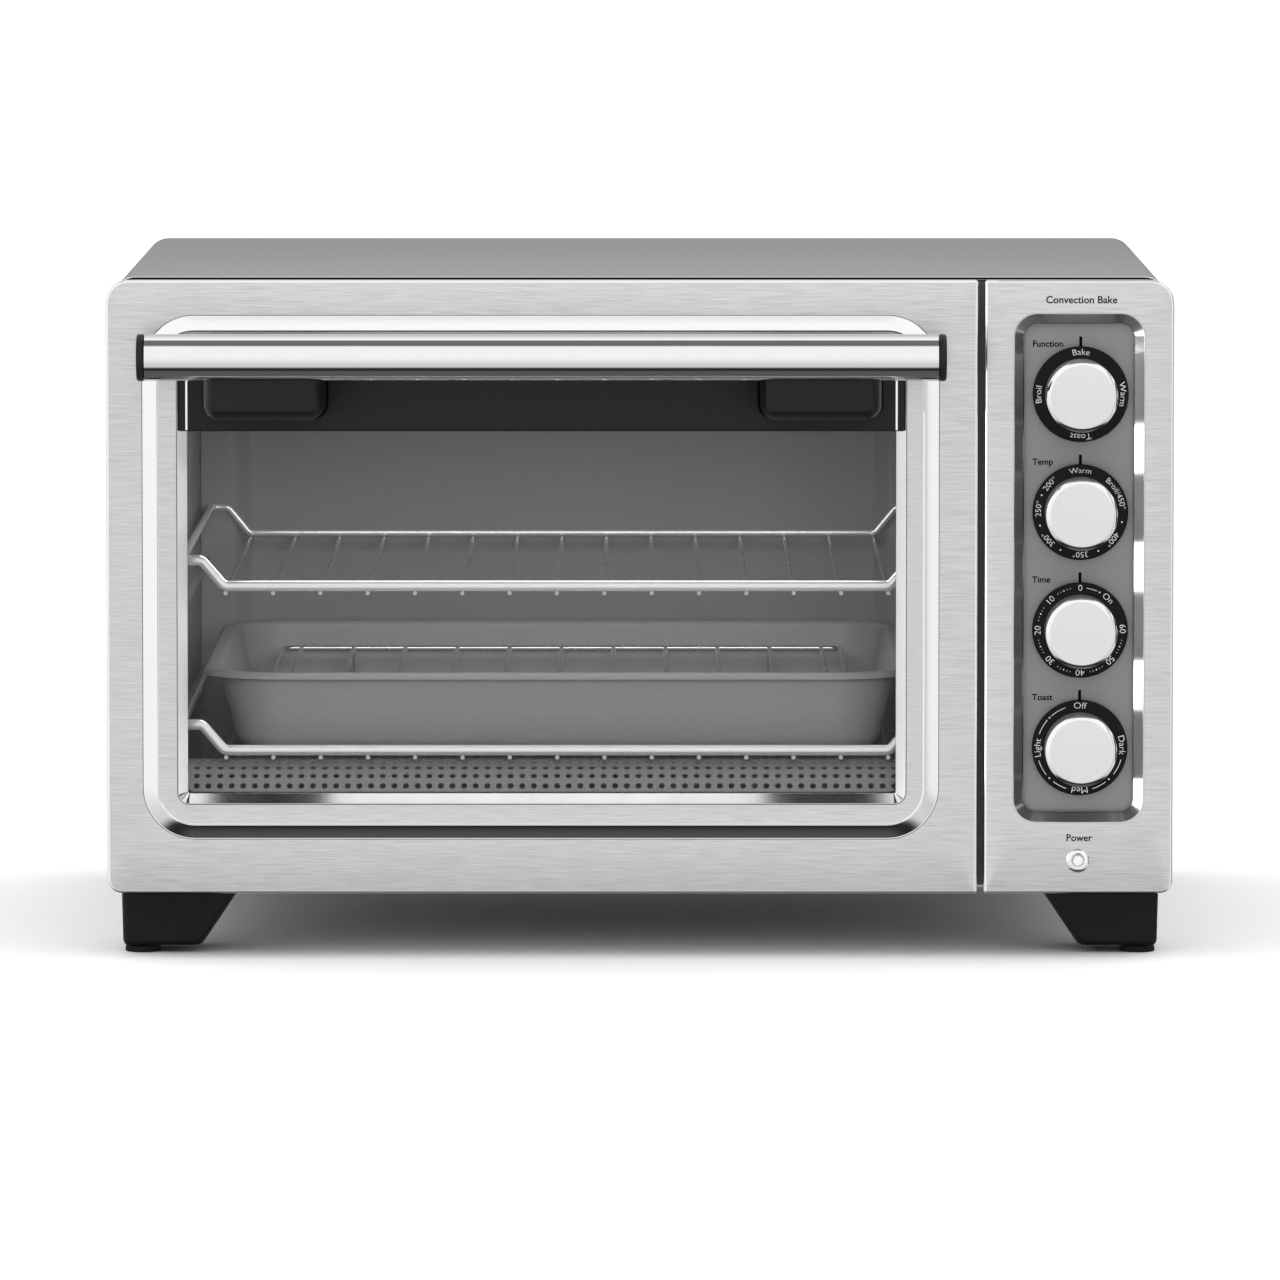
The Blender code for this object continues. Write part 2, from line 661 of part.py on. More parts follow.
def baking_pan():
    """A drawn pan with a flat rolled rim, sloping walls and a rounded foot."""
    middle_y = behind((PAN_FRONT + PAN_BACK) / 2)
    half_y = (PAN_BACK - PAN_FRONT) / 2
    wall = 0.0009

    def level(inset, z):
        half_x = PAN_HALF - inset
        outline = rounded((-half_x, half_x, inset - half_y, half_y - inset), PAN_CORNER - inset)
        return [(CAVITY_MIDDLE + x, middle_y + y, z) for x, y in outline]

    foot_radius, wall_inset, draft = 0.0120, PAN_RIM, 0.0060
    foot_inset = wall_inset + draft
    outside, inside = [], []
    for i in range(5):
        angle = math.radians(90 * i / 4)
        inset = foot_inset + foot_radius * (1 - math.sin(angle))
        z = PAN_BOTTOM_Z + foot_radius * (1 - math.cos(angle))
        outside.append(level(inset, z))
        inner_inset = foot_inset + foot_radius - (foot_radius - wall) * math.sin(angle)
        inner_z = PAN_BOTTOM_Z + foot_radius - (foot_radius - wall) * math.cos(angle)
        inside.append(level(inner_inset, inner_z))
    outside += [level(wall_inset, PAN_RIM_Z - wall), level(0.0, PAN_RIM_Z - wall)]
    inside += [level(wall_inset + wall, PAN_RIM_Z), level(0.0, PAN_RIM_Z)]
    pan = loft("baking_pan", outside + inside[::-1], "dark_enamel")
    hang_on(pivot("baking_pan_lift", (CAVITY_MIDDLE, middle_y, PAN_BOTTOM_Z)), pan)


def broil_rack():
    """A wire grid on four bent legs that stands in the pan."""
    front, back = behind(BROIL_FRONT), behind(BROIL_BACK)
    left, right = CAVITY_MIDDLE - BROIL_HALF, CAVITY_MIDDLE + BROIL_HALF
    corners = ((left, front), (left, back), (right, back), (right, front))
    frame_path = [(x, y, BROIL_Z) for x, y in corners]
    made = tube("broil_rack", bent(frame_path, 0.0160, 4, True), 0.0015, "chrome_wire", True)
    join(made, wires(
        "broil_wires", CAVITY_MIDDLE, BROIL_PITCH, BROIL_COUNT, front - 0.0004, back + 0.0004,
        BROIL_Z + 0.0004, BROIL_WIRE_RADIUS,
    ))
    foot_z = PAN_BOTTOM_Z + 0.0009 + GAP + 0.0012
    leg_x = 4 * BROIL_PITCH
    for x in (CAVITY_MIDDLE - leg_x, CAVITY_MIDDLE + leg_x):
        for y in (behind(0.0750), behind(0.2450)):
            path = ((x, y, BROIL_Z), (x, y, foot_z), (x, y + 0.0200, foot_z), (x, y + 0.0200, BROIL_Z))
            join(made, tube("broil_leg", bent(path, 0.0040, 2), 0.0012, resolution=1))
    hang_on(pivot("broil_rack_lift", (CAVITY_MIDDLE, behind(0.1700), BROIL_Z)), made)


# ---- door ---------------------------------------------------------------------------------
def hinge_slots():
    """Where the frame's hinge arms reach into the door, open to its back and its bottom edge."""
    slots = []
    for x in HINGE_ARMS:
        low = (x - HINGE_SLOT / 2, behind(SLOT_FRONT), FACE_BOTTOM - 0.001)
        high = (x + HINGE_SLOT / 2, behind(0.0175), HINGE_Z + 0.0060)
        slots.append(box("hinge_slot", low, high))
    return slots


def door_frame():
    """One pressing: a returned edge, a raised field and a bevelled window, open behind."""
    outer = (DOOR_LEFT, DOOR_RIGHT, FACE_BOTTOM, FACE_TOP)
    corner = (0.0060, 0.0015, 0.0015, 0.0095)
    tight = tuple(radius - 0.0010 for radius in corner)
    hollow = grown(outer, -DOOR_WALL)
    hollow_corner = tuple(max(radius - DOOR_WALL, 0.0003) for radius in corner)
    sections = [
        at_depth(rounded(outer, corner), DOOR_DEPTH),
        at_depth(rounded(outer, corner), 0.0010),
        at_depth(rounded(grown(outer, -0.0010), tight), 0.0),
        at_depth(rounded(RING_OUTER, 0.0210), 0.0),
        at_depth(rounded(RING_INNER, 0.0150), -RAISE),
        at_depth(rounded(WINDOW_OUTER, 0.0047), -RAISE),
        at_depth(rounded(WINDOW_INNER, 0.0012), WINDOW_LIP),
        at_depth(rounded(WINDOW_INNER, 0.0012), WINDOW_LIP + SHEET),
        at_depth(rounded(grown(WINDOW_OUTER, FOLD), 0.0051), SHEET - RAISE),
        at_depth(rounded(grown(RING_INNER, -FOLD), 0.0146), SHEET - RAISE),
        at_depth(rounded(grown(RING_OUTER, -FOLD), 0.0206), SHEET),
        at_depth(rounded(hollow, hollow_corner), SHEET),
        at_depth(rounded(hollow, hollow_corner), DOOR_DEPTH),
    ]
    frame = loft("door_frame", sections, "brushed_steel", ring=True)
    cut(frame, *hinge_slots())
    return frame


def door_inner_panel():
    edge = rounded((DOOR_LEFT + 0.0020, DOOR_RIGHT - 0.0020, 0.0284, 0.2752), 0.0040, 3)
    window = rounded(grown(WINDOW_INNER, 0.0010), 0.0030, 3)
    low, high = behind(DOOR_DEPTH + GAP), behind(0.0160)
    panel = plate("door_inner_panel", [edge, window], low, high, "Y", "black_steel")
    cut(panel, *hinge_slots())
    return panel


def door_glass():
    x0, x1, z0, z1 = grown(WINDOW_INNER, 0.0060)
    return box("door_glass", (x0, behind(GLASS_FRONT), z0), (x1, behind(GLASS_BACK), z1), "glass")


def door_trim_strip():
    """The dark bar across the window's top, which narrows to follow the window's bevel."""
    x0, x1, _, z1 = WINDOW_INNER
    back = (x0 + 0.0004, x1 - 0.0004, STRIP_BOTTOM, z1 - 0.0004)
    wide_x0, wide_x1, _, wide_z1 = WINDOW_OUTER
    face = (wide_x0 + 0.0005, wide_x1 - 0.0005, STRIP_BOTTOM, wide_z1 - 0.0005)
    low, narrow, round_top = 0.0008, 0.0016, 0.0047
    back_corners = (low, low, narrow, narrow)
    face_corners = (low, low, round_top, round_top)
    sections = [
        at_depth(rounded(back, back_corners, 3), GLASS_FRONT - GAP),
        at_depth(rounded(back, back_corners, 3), WINDOW_LIP - 0.0002),
        at_depth(rounded(face, face_corners, 3), -RAISE - 0.0002),
        at_depth(rounded(grown(face, -0.0006), (0.0004, 0.0004, 0.0041, 0.0041), 3), -RAISE - 0.0008),
    ]
    return loft("door_trim_strip", sections, "black_plastic")


def handle():
    """A tube between two end caps, carried by two hollow-fronted posts."""
    y = behind(-HANDLE_AHEAD)
    bar_left = HANDLE_LEFT + HANDLE_CAP + GAP
    bar_right = HANDLE_RIGHT - HANDLE_CAP - GAP
    bar = rod("handle_bar", (bar_left, y, HANDLE_Z), bar_right - bar_left, HANDLE_RADIUS, "X", "polished_steel")
    cut(bar, rod("handle_bore", (bar_left - 0.001, y, HANDLE_Z), 0.35, HANDLE_RADIUS - HANDLE_WALL, "X"))
    pieces = [bar]
    rim = HANDLE_RADIUS - 0.0012
    profile = (
        (0, HANDLE_CAP), (rim, HANDLE_CAP), (HANDLE_RADIUS, HANDLE_CAP - 0.0010), (HANDLE_RADIUS, 0), (0, 0)
    )
    right = turned("handle_cap_right", profile, (bar_right + GAP, y, HANDLE_Z), "X", "black_plastic")
    left = turned("handle_cap_left", profile, (bar_left - GAP, y, HANDLE_Z), "X", "black_plastic")
    left.matrix_world = left.matrix_world @ Matrix.Rotation(math.radians(180), 4, "X")
    pieces += [left, right]
    cradle = rod("handle_cradle", (-0.21, y, HANDLE_Z), 0.35, HANDLE_RADIUS + GAP, "X")
    for side, (x0, x1) in zip(("left", "right"), POSTS):
        outline = rounded((x0, x1, POST_BOTTOM, POST_TOP), (0.0060, 0.0060, 0.0030, 0.0030), 4)
        low, high = behind(-HANDLE_AHEAD + 0.0040), behind(-RAISE - 0.0008 - GAP)
        post = plate(f"handle_post_{side}", [outline], low, high, "Y", "black_plastic")
        cut(post, cradle)
        pieces.append(post)
    return pieces


def hinge_pins():
    spans = {"left": (DOOR_LEFT + DOOR_WALL + 0.0035, -0.1960), "right": (0.1140, DOOR_RIGHT - DOOR_WALL - GAP)}
    pins = []
    for side, (x0, x1) in spans.items():
        first = (x0, behind(HINGE_DEPTH), HINGE_Z)
        pins.append(rod(f"hinge_pin_{side}", first, x1 - x0, HINGE_PIN_RADIUS, "X", "zinc_steel", 12))
    return pins


def door():
    pieces = [door_frame(), door_inner_panel(), door_glass(), door_trim_strip(), *handle(), *hinge_pins()]
    hang_on(pivot("door_hinge", (0, behind(HINGE_DEPTH), HINGE_Z)), *pieces)


# ---- controls -----------------------------------------------------------------------------
def control_panel():
    outer = (PANEL_LEFT, WIDTH / 2, FACE_BOTTOM, FACE_TOP)
    corner = (0.0015, 0.0052, 0.0098, 0.0015)
    tight = tuple(radius - 0.0010 for radius in corner)
    hollow = grown(outer, -DOOR_WALL)
    hollow_corner = tuple(max(radius - DOOR_WALL, 0.0003) for radius in corner)
    sections = [
        at_depth(rounded(outer, corner), PANEL_DEPTH),
        at_depth(rounded(outer, corner), 0.0010),
        at_depth(rounded(grown(outer, -0.0010), tight), 0.0),
        at_depth(rounded(RECESS_OUTER, 0.0095), 0.0),
        at_depth(rounded(RECESS_INNER, 0.0060), RECESS_DEPTH),
        at_depth(rounded(RECESS_INNER, 0.0060), RECESS_DEPTH + SHEET),
        at_depth(rounded(grown(RECESS_OUTER, FOLD), 0.0099), SHEET),
        at_depth(rounded(hollow, hollow_corner), SHEET),
        at_depth(rounded(hollow, hollow_corner), PANEL_DEPTH),
    ]
    panel = loft("control_panel", sections, "brushed_steel", ring=True)
    cut(panel, rod("lamp_hole", (LAMP_X, behind(-0.001), LAMP_Z), 0.0100, 0.0039, "Y", sides=20))


def dial_plate():
    edge = rounded(grown(RECESS_INNER, 0.0030), 0.0060, 3)
    holes = [circle(KNOB_X, z, 0.0040, 16) for z in KNOB_Z.values()]
    plate("dial_plate", [edge, *holes], behind(DIAL_PLATE_FRONT), behind(DIAL_PLATE_BACK), "Y", "dial_grey")


def power_light():
    origin = (LAMP_X, behind(0), LAMP_Z)
    bezel = (
        (0.0024, -0.0100), (0.0024, 0.0010), (0.0036, 0.0014), (0.0049, 0.0003),
        (0.0036, 0.0003), (0.0036, -0.0100),
    )
    facing_front = Matrix.Rotation(math.radians(180), 4, "X")
    ring = turned("power_bezel", bezel, origin, "Y", "polished_steel", 20)
    lens_profile = ((0, 0.0014), (0.0011, 0.0012), (0.0021, 0.0004), (0.0021, -0.0120), (0, -0.0120))
    lens = turned("power_lens", lens_profile, origin, "Y", "lamp_lens", 16)
    for item in (ring, lens):
        item.matrix_world = item.matrix_world @ facing_front


def knob(name, z):
    """A cap over a skirt over a shaft, all turning on one axis that points back into the oven."""
    facing_front = Matrix.Rotation(math.radians(180), 4, "X")
    origin = (KNOB_X, behind(0), z)
    ahead, back = CAP_AHEAD, -SKIRT_FRONT + GAP
    cap_profile = (
        (0, ahead), (CAP_RADIUS - 0.0017, ahead), (CAP_RADIUS, ahead - 0.0017), (CAP_RADIUS, back),
        (CAP_RADIUS - 0.0015, back), (CAP_RADIUS - 0.0015, ahead - 0.0030), (0, ahead - 0.0030),
    )
    skirt_front, skirt_back = -SKIRT_FRONT, -DIAL_PLATE_FRONT + GAP
    skirt_profile = (
        (SHAFT_RADIUS + GAP, skirt_front), (SKIRT_RADIUS - 0.0006, skirt_front),
        (SKIRT_RADIUS, skirt_front - 0.0006), (SKIRT_RADIUS, skirt_back), (SHAFT_RADIUS + GAP, skirt_back),
    )
    cap = turned(f"{name}_knob", cap_profile, origin, "Y", "light_plastic")
    skirt = turned(f"{name}_dial", skirt_profile, origin, "Y", "black_plastic", 32)
    for item in (cap, skirt):
        item.matrix_world = item.matrix_world @ facing_front
    first = behind(-CAP_AHEAD + 0.0034)
    length = behind(SWITCH_FRONT + 0.0080) - first
    shaft = rod(f"{name}_shaft", (KNOB_X, first, z), length, SHAFT_RADIUS, "Y", "zinc_steel", 12)
    hang_on(pivot(f"{name}_turn", origin), cap, skirt, shaft)


def switch_body(name, z, half_x, half_z, length):
    low = (KNOB_X - half_x, behind(SWITCH_FRONT), z - half_z)
    high = (KNOB_X + half_x, behind(SWITCH_FRONT + length), z + half_z)
    body = box(name, low, high, "black_plastic")
    edges = body.modifiers.new("edges", "BEVEL")
    edges.width = 0.0015
    edges.segments = 1
    mouth = (KNOB_X, behind(SWITCH_FRONT - 0.001), z)
    bore = rod(f"{name}_bore", mouth, 0.0100, SHAFT_RADIUS + GAP, "Y", sides=12)
    cut(body, bore)


def controls():
    control_panel()
    dial_plate()
    power_light()
    for name, z in KNOB_Z.items():
        knob(name, z)
    switch_body("function_switch", KNOB_Z["function"], 0.0190, 0.0170, 0.0220)
    switch_body("thermostat", KNOB_Z["temperature"], 0.0150, 0.0190, 0.0260)
    switch_body("timer", KNOB_Z["timer"], 0.0220, 0.0220, 0.0380)
    switch_body("toast_timer", KNOB_Z["toast"], 0.0220, 0.0220, 0.0380)


# ---- convection fan -----------------------------------------------------------------------
def fan():
    y = behind(FAN_DEPTH)
    rod("fan_cover", (CAVITY_RIGHT - GAP - 0.0011, y, FAN_Z), 0.0011, 0.0410, "X", "enamel", 36)
    motor = rod("fan_motor", (0.1500, y, FAN_Z), 0.0300, 0.0240, "X", "zinc_steel")
    cut(motor, rod("motor_bore", (0.1490, y, FAN_Z), 0.0090, 0.0030, "X", sides=12))
    impeller = rod("fan_impeller", (0.1280, y, FAN_Z), 0.0120, 0.0080, "X", "zinc_steel", 16)
    join(impeller, rod("fan_shaft", (0.1300, y, FAN_Z), 0.0260, 0.0025, "X", sides=12))
    blades = bmesh.new()
    for i in range(6):
        turn = Matrix.Rotation(math.radians(60 * i), 4, "X")
        pitch = Matrix.Rotation(math.radians(35), 4, "Z")
        shape = Matrix.Diagonal((0.0120, 0.0010, 0.0270, 1))
        place = Matrix.Translation((0.1340, y, FAN_Z)) @ turn @ Matrix.Translation((0, 0, 0.0200)) @ pitch
        bmesh.ops.create_cube(blades, size=1.0, matrix=place @ shape)
    join(impeller, add_mesh("fan_blades", blades))
    hang_on(pivot("fan_spin", (0.1340, y, FAN_Z)), impeller)


# ---- the oven -----------------------------------------------------------------------------
def build():
    start()
    outer_cover()
    base_plate()
    rear_panel()
    cord_gland()
    front_frame()
    feet()
    cavity_walls()
    cavity_sheets()
    cavity_back()
    element_guard()
    heating_element("upper_element", *UPPER_ELEMENT)
    heating_element("lower_element", *LOWER_ELEMENT)
    crumb_tray()
    rack("upper_rack", UPPER_BAR_Z)
    rack("lower_rack", LOWER_BAR_Z)
    baking_pan()
    broil_rack()
    door()
    controls()
    fan()


build()
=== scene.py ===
# %% [markdown]
# A countertop convection toaster oven, dressed for its portrait. The solid model is already
# designed: its pieces, joints and sizes come in as a fixed frame. Everything here is about what a
# plain solid lacks: rolled edges, brushed grain, spun knobs, printed dials, wires and perforations.
# We load the frame first and read the boxes of its pieces. The dressed oven may not outgrow it.

# %% Load the frame
import math

import bmesh
import bpy
from mathutils import Matrix, Vector


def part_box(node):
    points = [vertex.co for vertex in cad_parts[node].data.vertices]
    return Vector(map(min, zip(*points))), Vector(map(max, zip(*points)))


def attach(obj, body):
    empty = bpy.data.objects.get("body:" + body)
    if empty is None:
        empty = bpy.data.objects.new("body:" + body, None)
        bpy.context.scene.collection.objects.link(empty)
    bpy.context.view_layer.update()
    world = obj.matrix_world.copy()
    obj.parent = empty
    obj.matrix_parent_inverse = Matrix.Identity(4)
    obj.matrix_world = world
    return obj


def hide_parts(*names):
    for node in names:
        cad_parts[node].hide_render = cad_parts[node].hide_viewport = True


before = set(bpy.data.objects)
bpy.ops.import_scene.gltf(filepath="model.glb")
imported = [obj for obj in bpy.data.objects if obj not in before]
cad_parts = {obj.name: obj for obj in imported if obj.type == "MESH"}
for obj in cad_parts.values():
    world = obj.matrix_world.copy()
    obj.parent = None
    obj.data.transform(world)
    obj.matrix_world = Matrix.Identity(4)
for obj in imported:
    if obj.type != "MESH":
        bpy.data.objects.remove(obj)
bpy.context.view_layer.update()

# %% [markdown]
# Depths are easiest to read from the flat front of the oven backwards, so one helper turns a depth
# into a Y. The other helpers make rounded rectangles and circles, the outlines that pressed sheet
# metal is full of. An outline is a list of (x, z) points; a section is that outline at one depth.

# %% Places and outlines
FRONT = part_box("control_panel")[0][1]
SHEET = 0.0009


def behind(depth):
    return FRONT + depth


def face_of(node):
    """A node's bounds seen from the front: (x0, x1, z0, z1)."""
    low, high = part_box(node)
    return (low[0], high[0], low[2], high[2])


def middle_of(node):
    return [(a + b) / 2 for a, b in zip(*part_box(node))]


def grown(bounds, extra):
    x0, x1, z0, z1 = bounds
    return (x0 - extra, x1 + extra, z0 - extra, z1 + extra)


def rounded(bounds, radii, steps=12):
    """Points round a rectangle (x0, x1, z0, z1); radii start at the lower left, anticlockwise."""
    x0, x1, z0, z1 = bounds
    if not isinstance(radii, tuple):
        radii = (radii,) * 4
    corners = ((x0, z0, 1, 1, 180), (x1, z0, -1, 1, 270), (x1, z1, -1, -1, 0), (x0, z1, 1, -1, 90))
    points = []
    for (x, z, side, up, first), radius in zip(corners, radii):
        radius = max(radius, 0.0001)
        for i in range(steps + 1):
            angle = math.radians(first + 90 * i / steps)
            cx = x + side * radius
            cz = z + up * radius
            points.append((cx + radius * math.cos(angle), cz + radius * math.sin(angle)))
    return points


def eased(profile, radius, steps=4):
    """Rounds the inner corners of an open two-number profile with small arcs."""
    path = [Vector(point) for point in profile]
    out = [path[0]]
    for before, corner, after in zip(path, path[1:], path[2:]):
        a = before - corner
        b = after - corner
        reach = min(radius, a.length * 0.45, b.length * 0.45)
        start = corner + a.normalized() * reach
        end = corner + b.normalized() * reach
        for i in range(steps + 1):
            t = i / steps
            out.append(start * (1 - t) ** 2 + corner * 2 * t * (1 - t) + end * t * t)
    out.append(path[-1])
    return [tuple(point) for point in out]


print("front plane at y =", round(FRONT, 5))

# %% [markdown]
# Every finish is a small node tree on a Principled shader. Real metal is never one flat value: it
# has grain, a slight cloudiness in its gloss, and tiny relief. So each finish starts from a noise
# stretched to the direction the surface was worked in, read in metres from the object's own
# coordinates. The noise shifts colour and roughness a little and drives a shallow bump.

# %% A base for all finishes
def new_finish(name, colour, roughness, metallic=0.0, **sockets):
    made = bpy.data.materials.new(name)
    made.use_nodes = True
    shader = made.node_tree.nodes["Principled BSDF"]
    shader.inputs["Base Color"].default_value = (*colour, 1)
    shader.inputs["Roughness"].default_value = roughness
    shader.inputs["Metallic"].default_value = metallic
    for socket, value in sockets.items():
        shader.inputs[socket.replace("_", " ")].default_value = value
    return made


def wired(tree, kind, inputs, **settings):
    """A new node; each input takes a plain value or another node's output."""
    node = tree.nodes.new(kind)
    for name, value in settings.items():
        setattr(node, name, value)
    for name, value in inputs.items():
        if isinstance(value, bpy.types.NodeSocket):
            tree.links.new(value, node.inputs[name])
        else:
            node.inputs[name].default_value = value
    return node


def feed(made, source, socket):
    made.node_tree.links.new(source, made.node_tree.nodes["Principled BSDF"].inputs[socket])


def noise(made, scale, detail=3.0, cells=False):
    """A noise in object metres; scale is cycles a metre along X, Y and Z."""
    tree = made.node_tree
    place = wired(tree, "ShaderNodeTexCoord", {}).outputs["Object"]
    stretched = wired(tree, "ShaderNodeMapping", {"Vector": place, "Scale": scale}).outputs["Vector"]
    if cells:
        return wired(tree, "ShaderNodeTexVoronoi", {"Vector": stretched, "Scale": 1.0}).outputs["Color"]
    return wired(tree, "ShaderNodeTexNoise", {"Vector": stretched, "Scale": 1.0, "Detail": detail}).outputs[0]


def ramp(made, source, low, high, start=0.3, end=0.7):
    """Maps a noise to a grey between low and high."""
    inputs = {"Value": source, "From Min": start, "From Max": end, "To Min": low, "To Max": high}
    return wired(made.node_tree, "ShaderNodeMapRange", inputs).outputs["Result"]


def tint(made, source, dark, light):
    """Mixes two colours by a 0 to 1 source and feeds the base colour."""
    inputs = {"Factor": source, "A": (*dark, 1), "B": (*light, 1)}
    mixed = wired(made.node_tree, "ShaderNodeMix", inputs, data_type="RGBA")
    feed(made, mixed.outputs["Result"], "Base Color")


def relief(made, source, height, strength=1.0):
    """A bump whose full travel is height, in metres."""
    inputs = {"Height": source, "Distance": height, "Strength": strength}
    feed(made, wired(made.node_tree, "ShaderNodeBump", inputs).outputs["Normal"], "Normal")


def grey(value):
    return (value, value, value)


# %% [markdown]
# The front is brushed stainless steel: hair-fine scratches that all run across. Along X the noise
# is slow (a scratch is some 20 mm long), along Z it is very fast (a scratch is a fraction of a
# millimetre wide). The pressed slopes and the rolled edges are the same steel with the grain
# polished away, so they take sharp, bright reflections beside the soft flats.

# %% Steel finishes
def brushed_finish(name, dark, light, scale):
    made = new_finish(name, grey(light), 0.34, 1.0)
    grain = noise(made, scale, 4.0)
    tint(made, ramp(made, grain, 0.0, 1.0, 0.32, 0.68), grey(dark), grey(light))
    feed(made, ramp(made, grain, 0.40, 0.28), "Roughness")
    relief(made, grain, 0.000010, 0.5)
    return made


brushed_steel = brushed_finish("brushed_steel", 0.57, 0.71, (80.0, 300.0, 2600.0))


def polished_finish(name, value, low, high, scale=(60.0, 60.0, 60.0)):
    made = new_finish(name, grey(value), low, 1.0)
    feed(made, ramp(made, noise(made, scale), low, high), "Roughness")
    return made


polished_edge = polished_finish("polished_edge", 0.91, 0.05, 0.08)
polished_slope = polished_finish("polished_slope", 0.92, 0.09, 0.13, (40.0, 300.0, 1500.0))
bevel_steel = polished_finish("bevel_steel", 0.90, 0.13, 0.16)
# A darker copy of the polished steel, as painted shade for the control panel's recess slopes.
recess_steel = polished_finish("recess_steel", 0.56, 0.13, 0.18, (200.0, 300.0, 40.0))
thin_wire = polished_finish("thin_wire", 0.62, 0.18, 0.28, (300.0, 300.0, 300.0))
handle_steel = polished_finish("handle_steel", 0.86, 0.07, 0.11, (25.0, 1600.0, 1600.0))
chrome_wire = polished_finish("chrome_wire", 0.90, 0.16, 0.24, (300.0, 300.0, 300.0))
chrome_wire.node_tree.nodes["Principled BSDF"].inputs["Metallic"].default_value = 0.7

zinc_sheet = new_finish("zinc_sheet", grey(0.42), 0.42, 1.0)
spangle = noise(zinc_sheet, (90.0, 90.0, 90.0), cells=True)
tint(zinc_sheet, ramp(zinc_sheet, spangle, 0.0, 1.0, 0.1, 0.7), grey(0.36), grey(0.50))
feed(zinc_sheet, ramp(zinc_sheet, spangle, 0.48, 0.36, 0.1, 0.7), "Roughness")

heater_sheath = new_finish("heater_sheath", grey(0.10), 0.5, 1.0)
scale_marks = noise(heater_sheath, (160.0, 160.0, 160.0), 6.0)
tint(heater_sheath, ramp(heater_sheath, scale_marks, 0.0, 1.0), (0.05, 0.05, 0.05), (0.16, 0.15, 0.145))
feed(heater_sheath, ramp(heater_sheath, scale_marks, 0.4, 0.65), "Roughness")
print("steel finishes:", brushed_steel.name, polished_edge.name, handle_steel.name, chrome_wire.name)

# %% [markdown]
# Paint and enamel are smoother than they look: what tells them apart is a faint orange peel and,
# on enamel, a fine fleck. Moulded plastic carries a spark-eroded grain a tenth of a millimetre
# across. Rubber is nearly without gloss. Each gets its own noise at the size of the real texture.

# %% Paint, enamel, plastic and rubber
def coated_finish(name, dark, light, roughness, fleck, peel, height, gloss=0.5):
    made = new_finish(name, grey(light), roughness, 0.0, Specular_IOR_Level=gloss)
    flecks = noise(made, (fleck,) * 3, 5.0)
    tint(made, ramp(made, flecks, 0.0, 1.0, 0.35, 0.65), grey(dark), grey(light))
    relief(made, noise(made, (peel,) * 3, 2.0), height, 0.6)
    return made


cover_paint = coated_finish("cover_paint", 0.180, 0.200, 0.50, 1500.0, 700.0, 0.000012, 0.3)
cavity_enamel = coated_finish("cavity_enamel", 0.165, 0.185, 0.45, 900.0, 260.0, 0.000006, 0.3)
guard_enamel = coated_finish("guard_enamel", 0.15, 0.18, 0.45, 900.0, 300.0, 0.000006, 0.3)
pan_enamel = coated_finish("pan_enamel", 0.175, 0.205, 0.38, 1100.0, 240.0, 0.000006, 0.4)
base_paint = coated_finish("base_paint", 0.50, 0.56, 0.50, 1200.0, 800.0, 0.000012, 0.1)
frame_paint = coated_finish("frame_paint", 0.060, 0.075, 0.50, 1200.0, 800.0, 0.000012, 0.2)
black_plastic = coated_finish("black_plastic", 0.012, 0.016, 0.42, 1800.0, 4200.0, 0.000008, 0.16)
post_plastic = coated_finish("post_plastic", 0.008, 0.010, 0.26, 1800.0, 4200.0, 0.000003, 0.22)
foot_plastic = coated_finish("foot_plastic", 0.007, 0.010, 0.40, 1600.0, 3600.0, 0.000012, 0.12)
dial_grey = coated_finish("dial_grey", 0.260, 0.280, 0.52, 2200.0, 3000.0, 0.000006, 0.2)
dial_black = coated_finish("dial_black", 0.004, 0.005, 0.26, 1500.0, 3000.0, 0.000002, 0.12)
switch_plastic = coated_finish("switch_plastic", 0.045, 0.060, 0.45, 900.0, 2000.0, 0.000012, 0.3)
rubber = coated_finish("rubber", 0.012, 0.018, 0.78, 900.0, 1500.0, 0.000030, 0.1)
knob_side = coated_finish("knob_side", 0.15, 0.18, 0.36, 2600.0, 3000.0, 0.000003, 0.2)
knob_satin = coated_finish("knob_satin", 0.66, 0.68, 0.42, 2600.0, 3000.0, 0.000003, 0.1)
legend_white = coated_finish("legend_white", 0.86, 0.92, 0.50, 2000.0, 2000.0, 0.000002, 0.2)
legend_black = coated_finish("legend_black", 0.0015, 0.0025, 0.60, 2000.0, 2000.0, 0.000002, 0.02)
lamp_white = coated_finish("lamp_white", 0.86, 0.92, 0.25, 800.0, 800.0, 0.000002, 0.5)
# Near black as painted shade: for the screws' cross recesses and the gap at the cover's front step.
slot_dark = coated_finish("slot_dark", 0.003, 0.005, 0.70, 800.0, 800.0, 0.000004, 0.02)
crease_shadow = coated_finish("crease_shadow", 0.11, 0.15, 0.60, 800.0, 800.0, 0.000004, 0.1)

door_glass = new_finish("door_glass", (0.08, 0.08, 0.08), 0.03, 0.0, Alpha=0.12)
feed(door_glass, ramp(door_glass, noise(door_glass, (30.0, 30.0, 30.0)), 0.02, 0.05), "Roughness")
print("finishes made:", len(bpy.data.materials))

# %% [markdown]
# A piece is a mesh with a finish, riding on one body of the frame. Some pieces stand in for a plain
# solid of the frame, which is then hidden. One function does all of that, so that no piece is
# forgotten. Smooth shading with a sharp-edge angle keeps flats flat and rounds round.

# %% Making a piece
made_pieces = []


def mount(item, body, slot, *stands_for):
    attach(item, body)
    if stands_for:
        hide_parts(*stands_for)
    made_pieces.append(item.name)
    return item


def placed(name, data):
    """A new object for a mesh, curve, light or camera, linked into the scene."""
    item = bpy.data.objects.new(name, data)
    bpy.context.scene.collection.objects.link(item)
    return item


def as_mesh(bm, name):
    mesh = bpy.data.meshes.new(name)
    bm.to_mesh(mesh)
    bm.free()
    return mesh


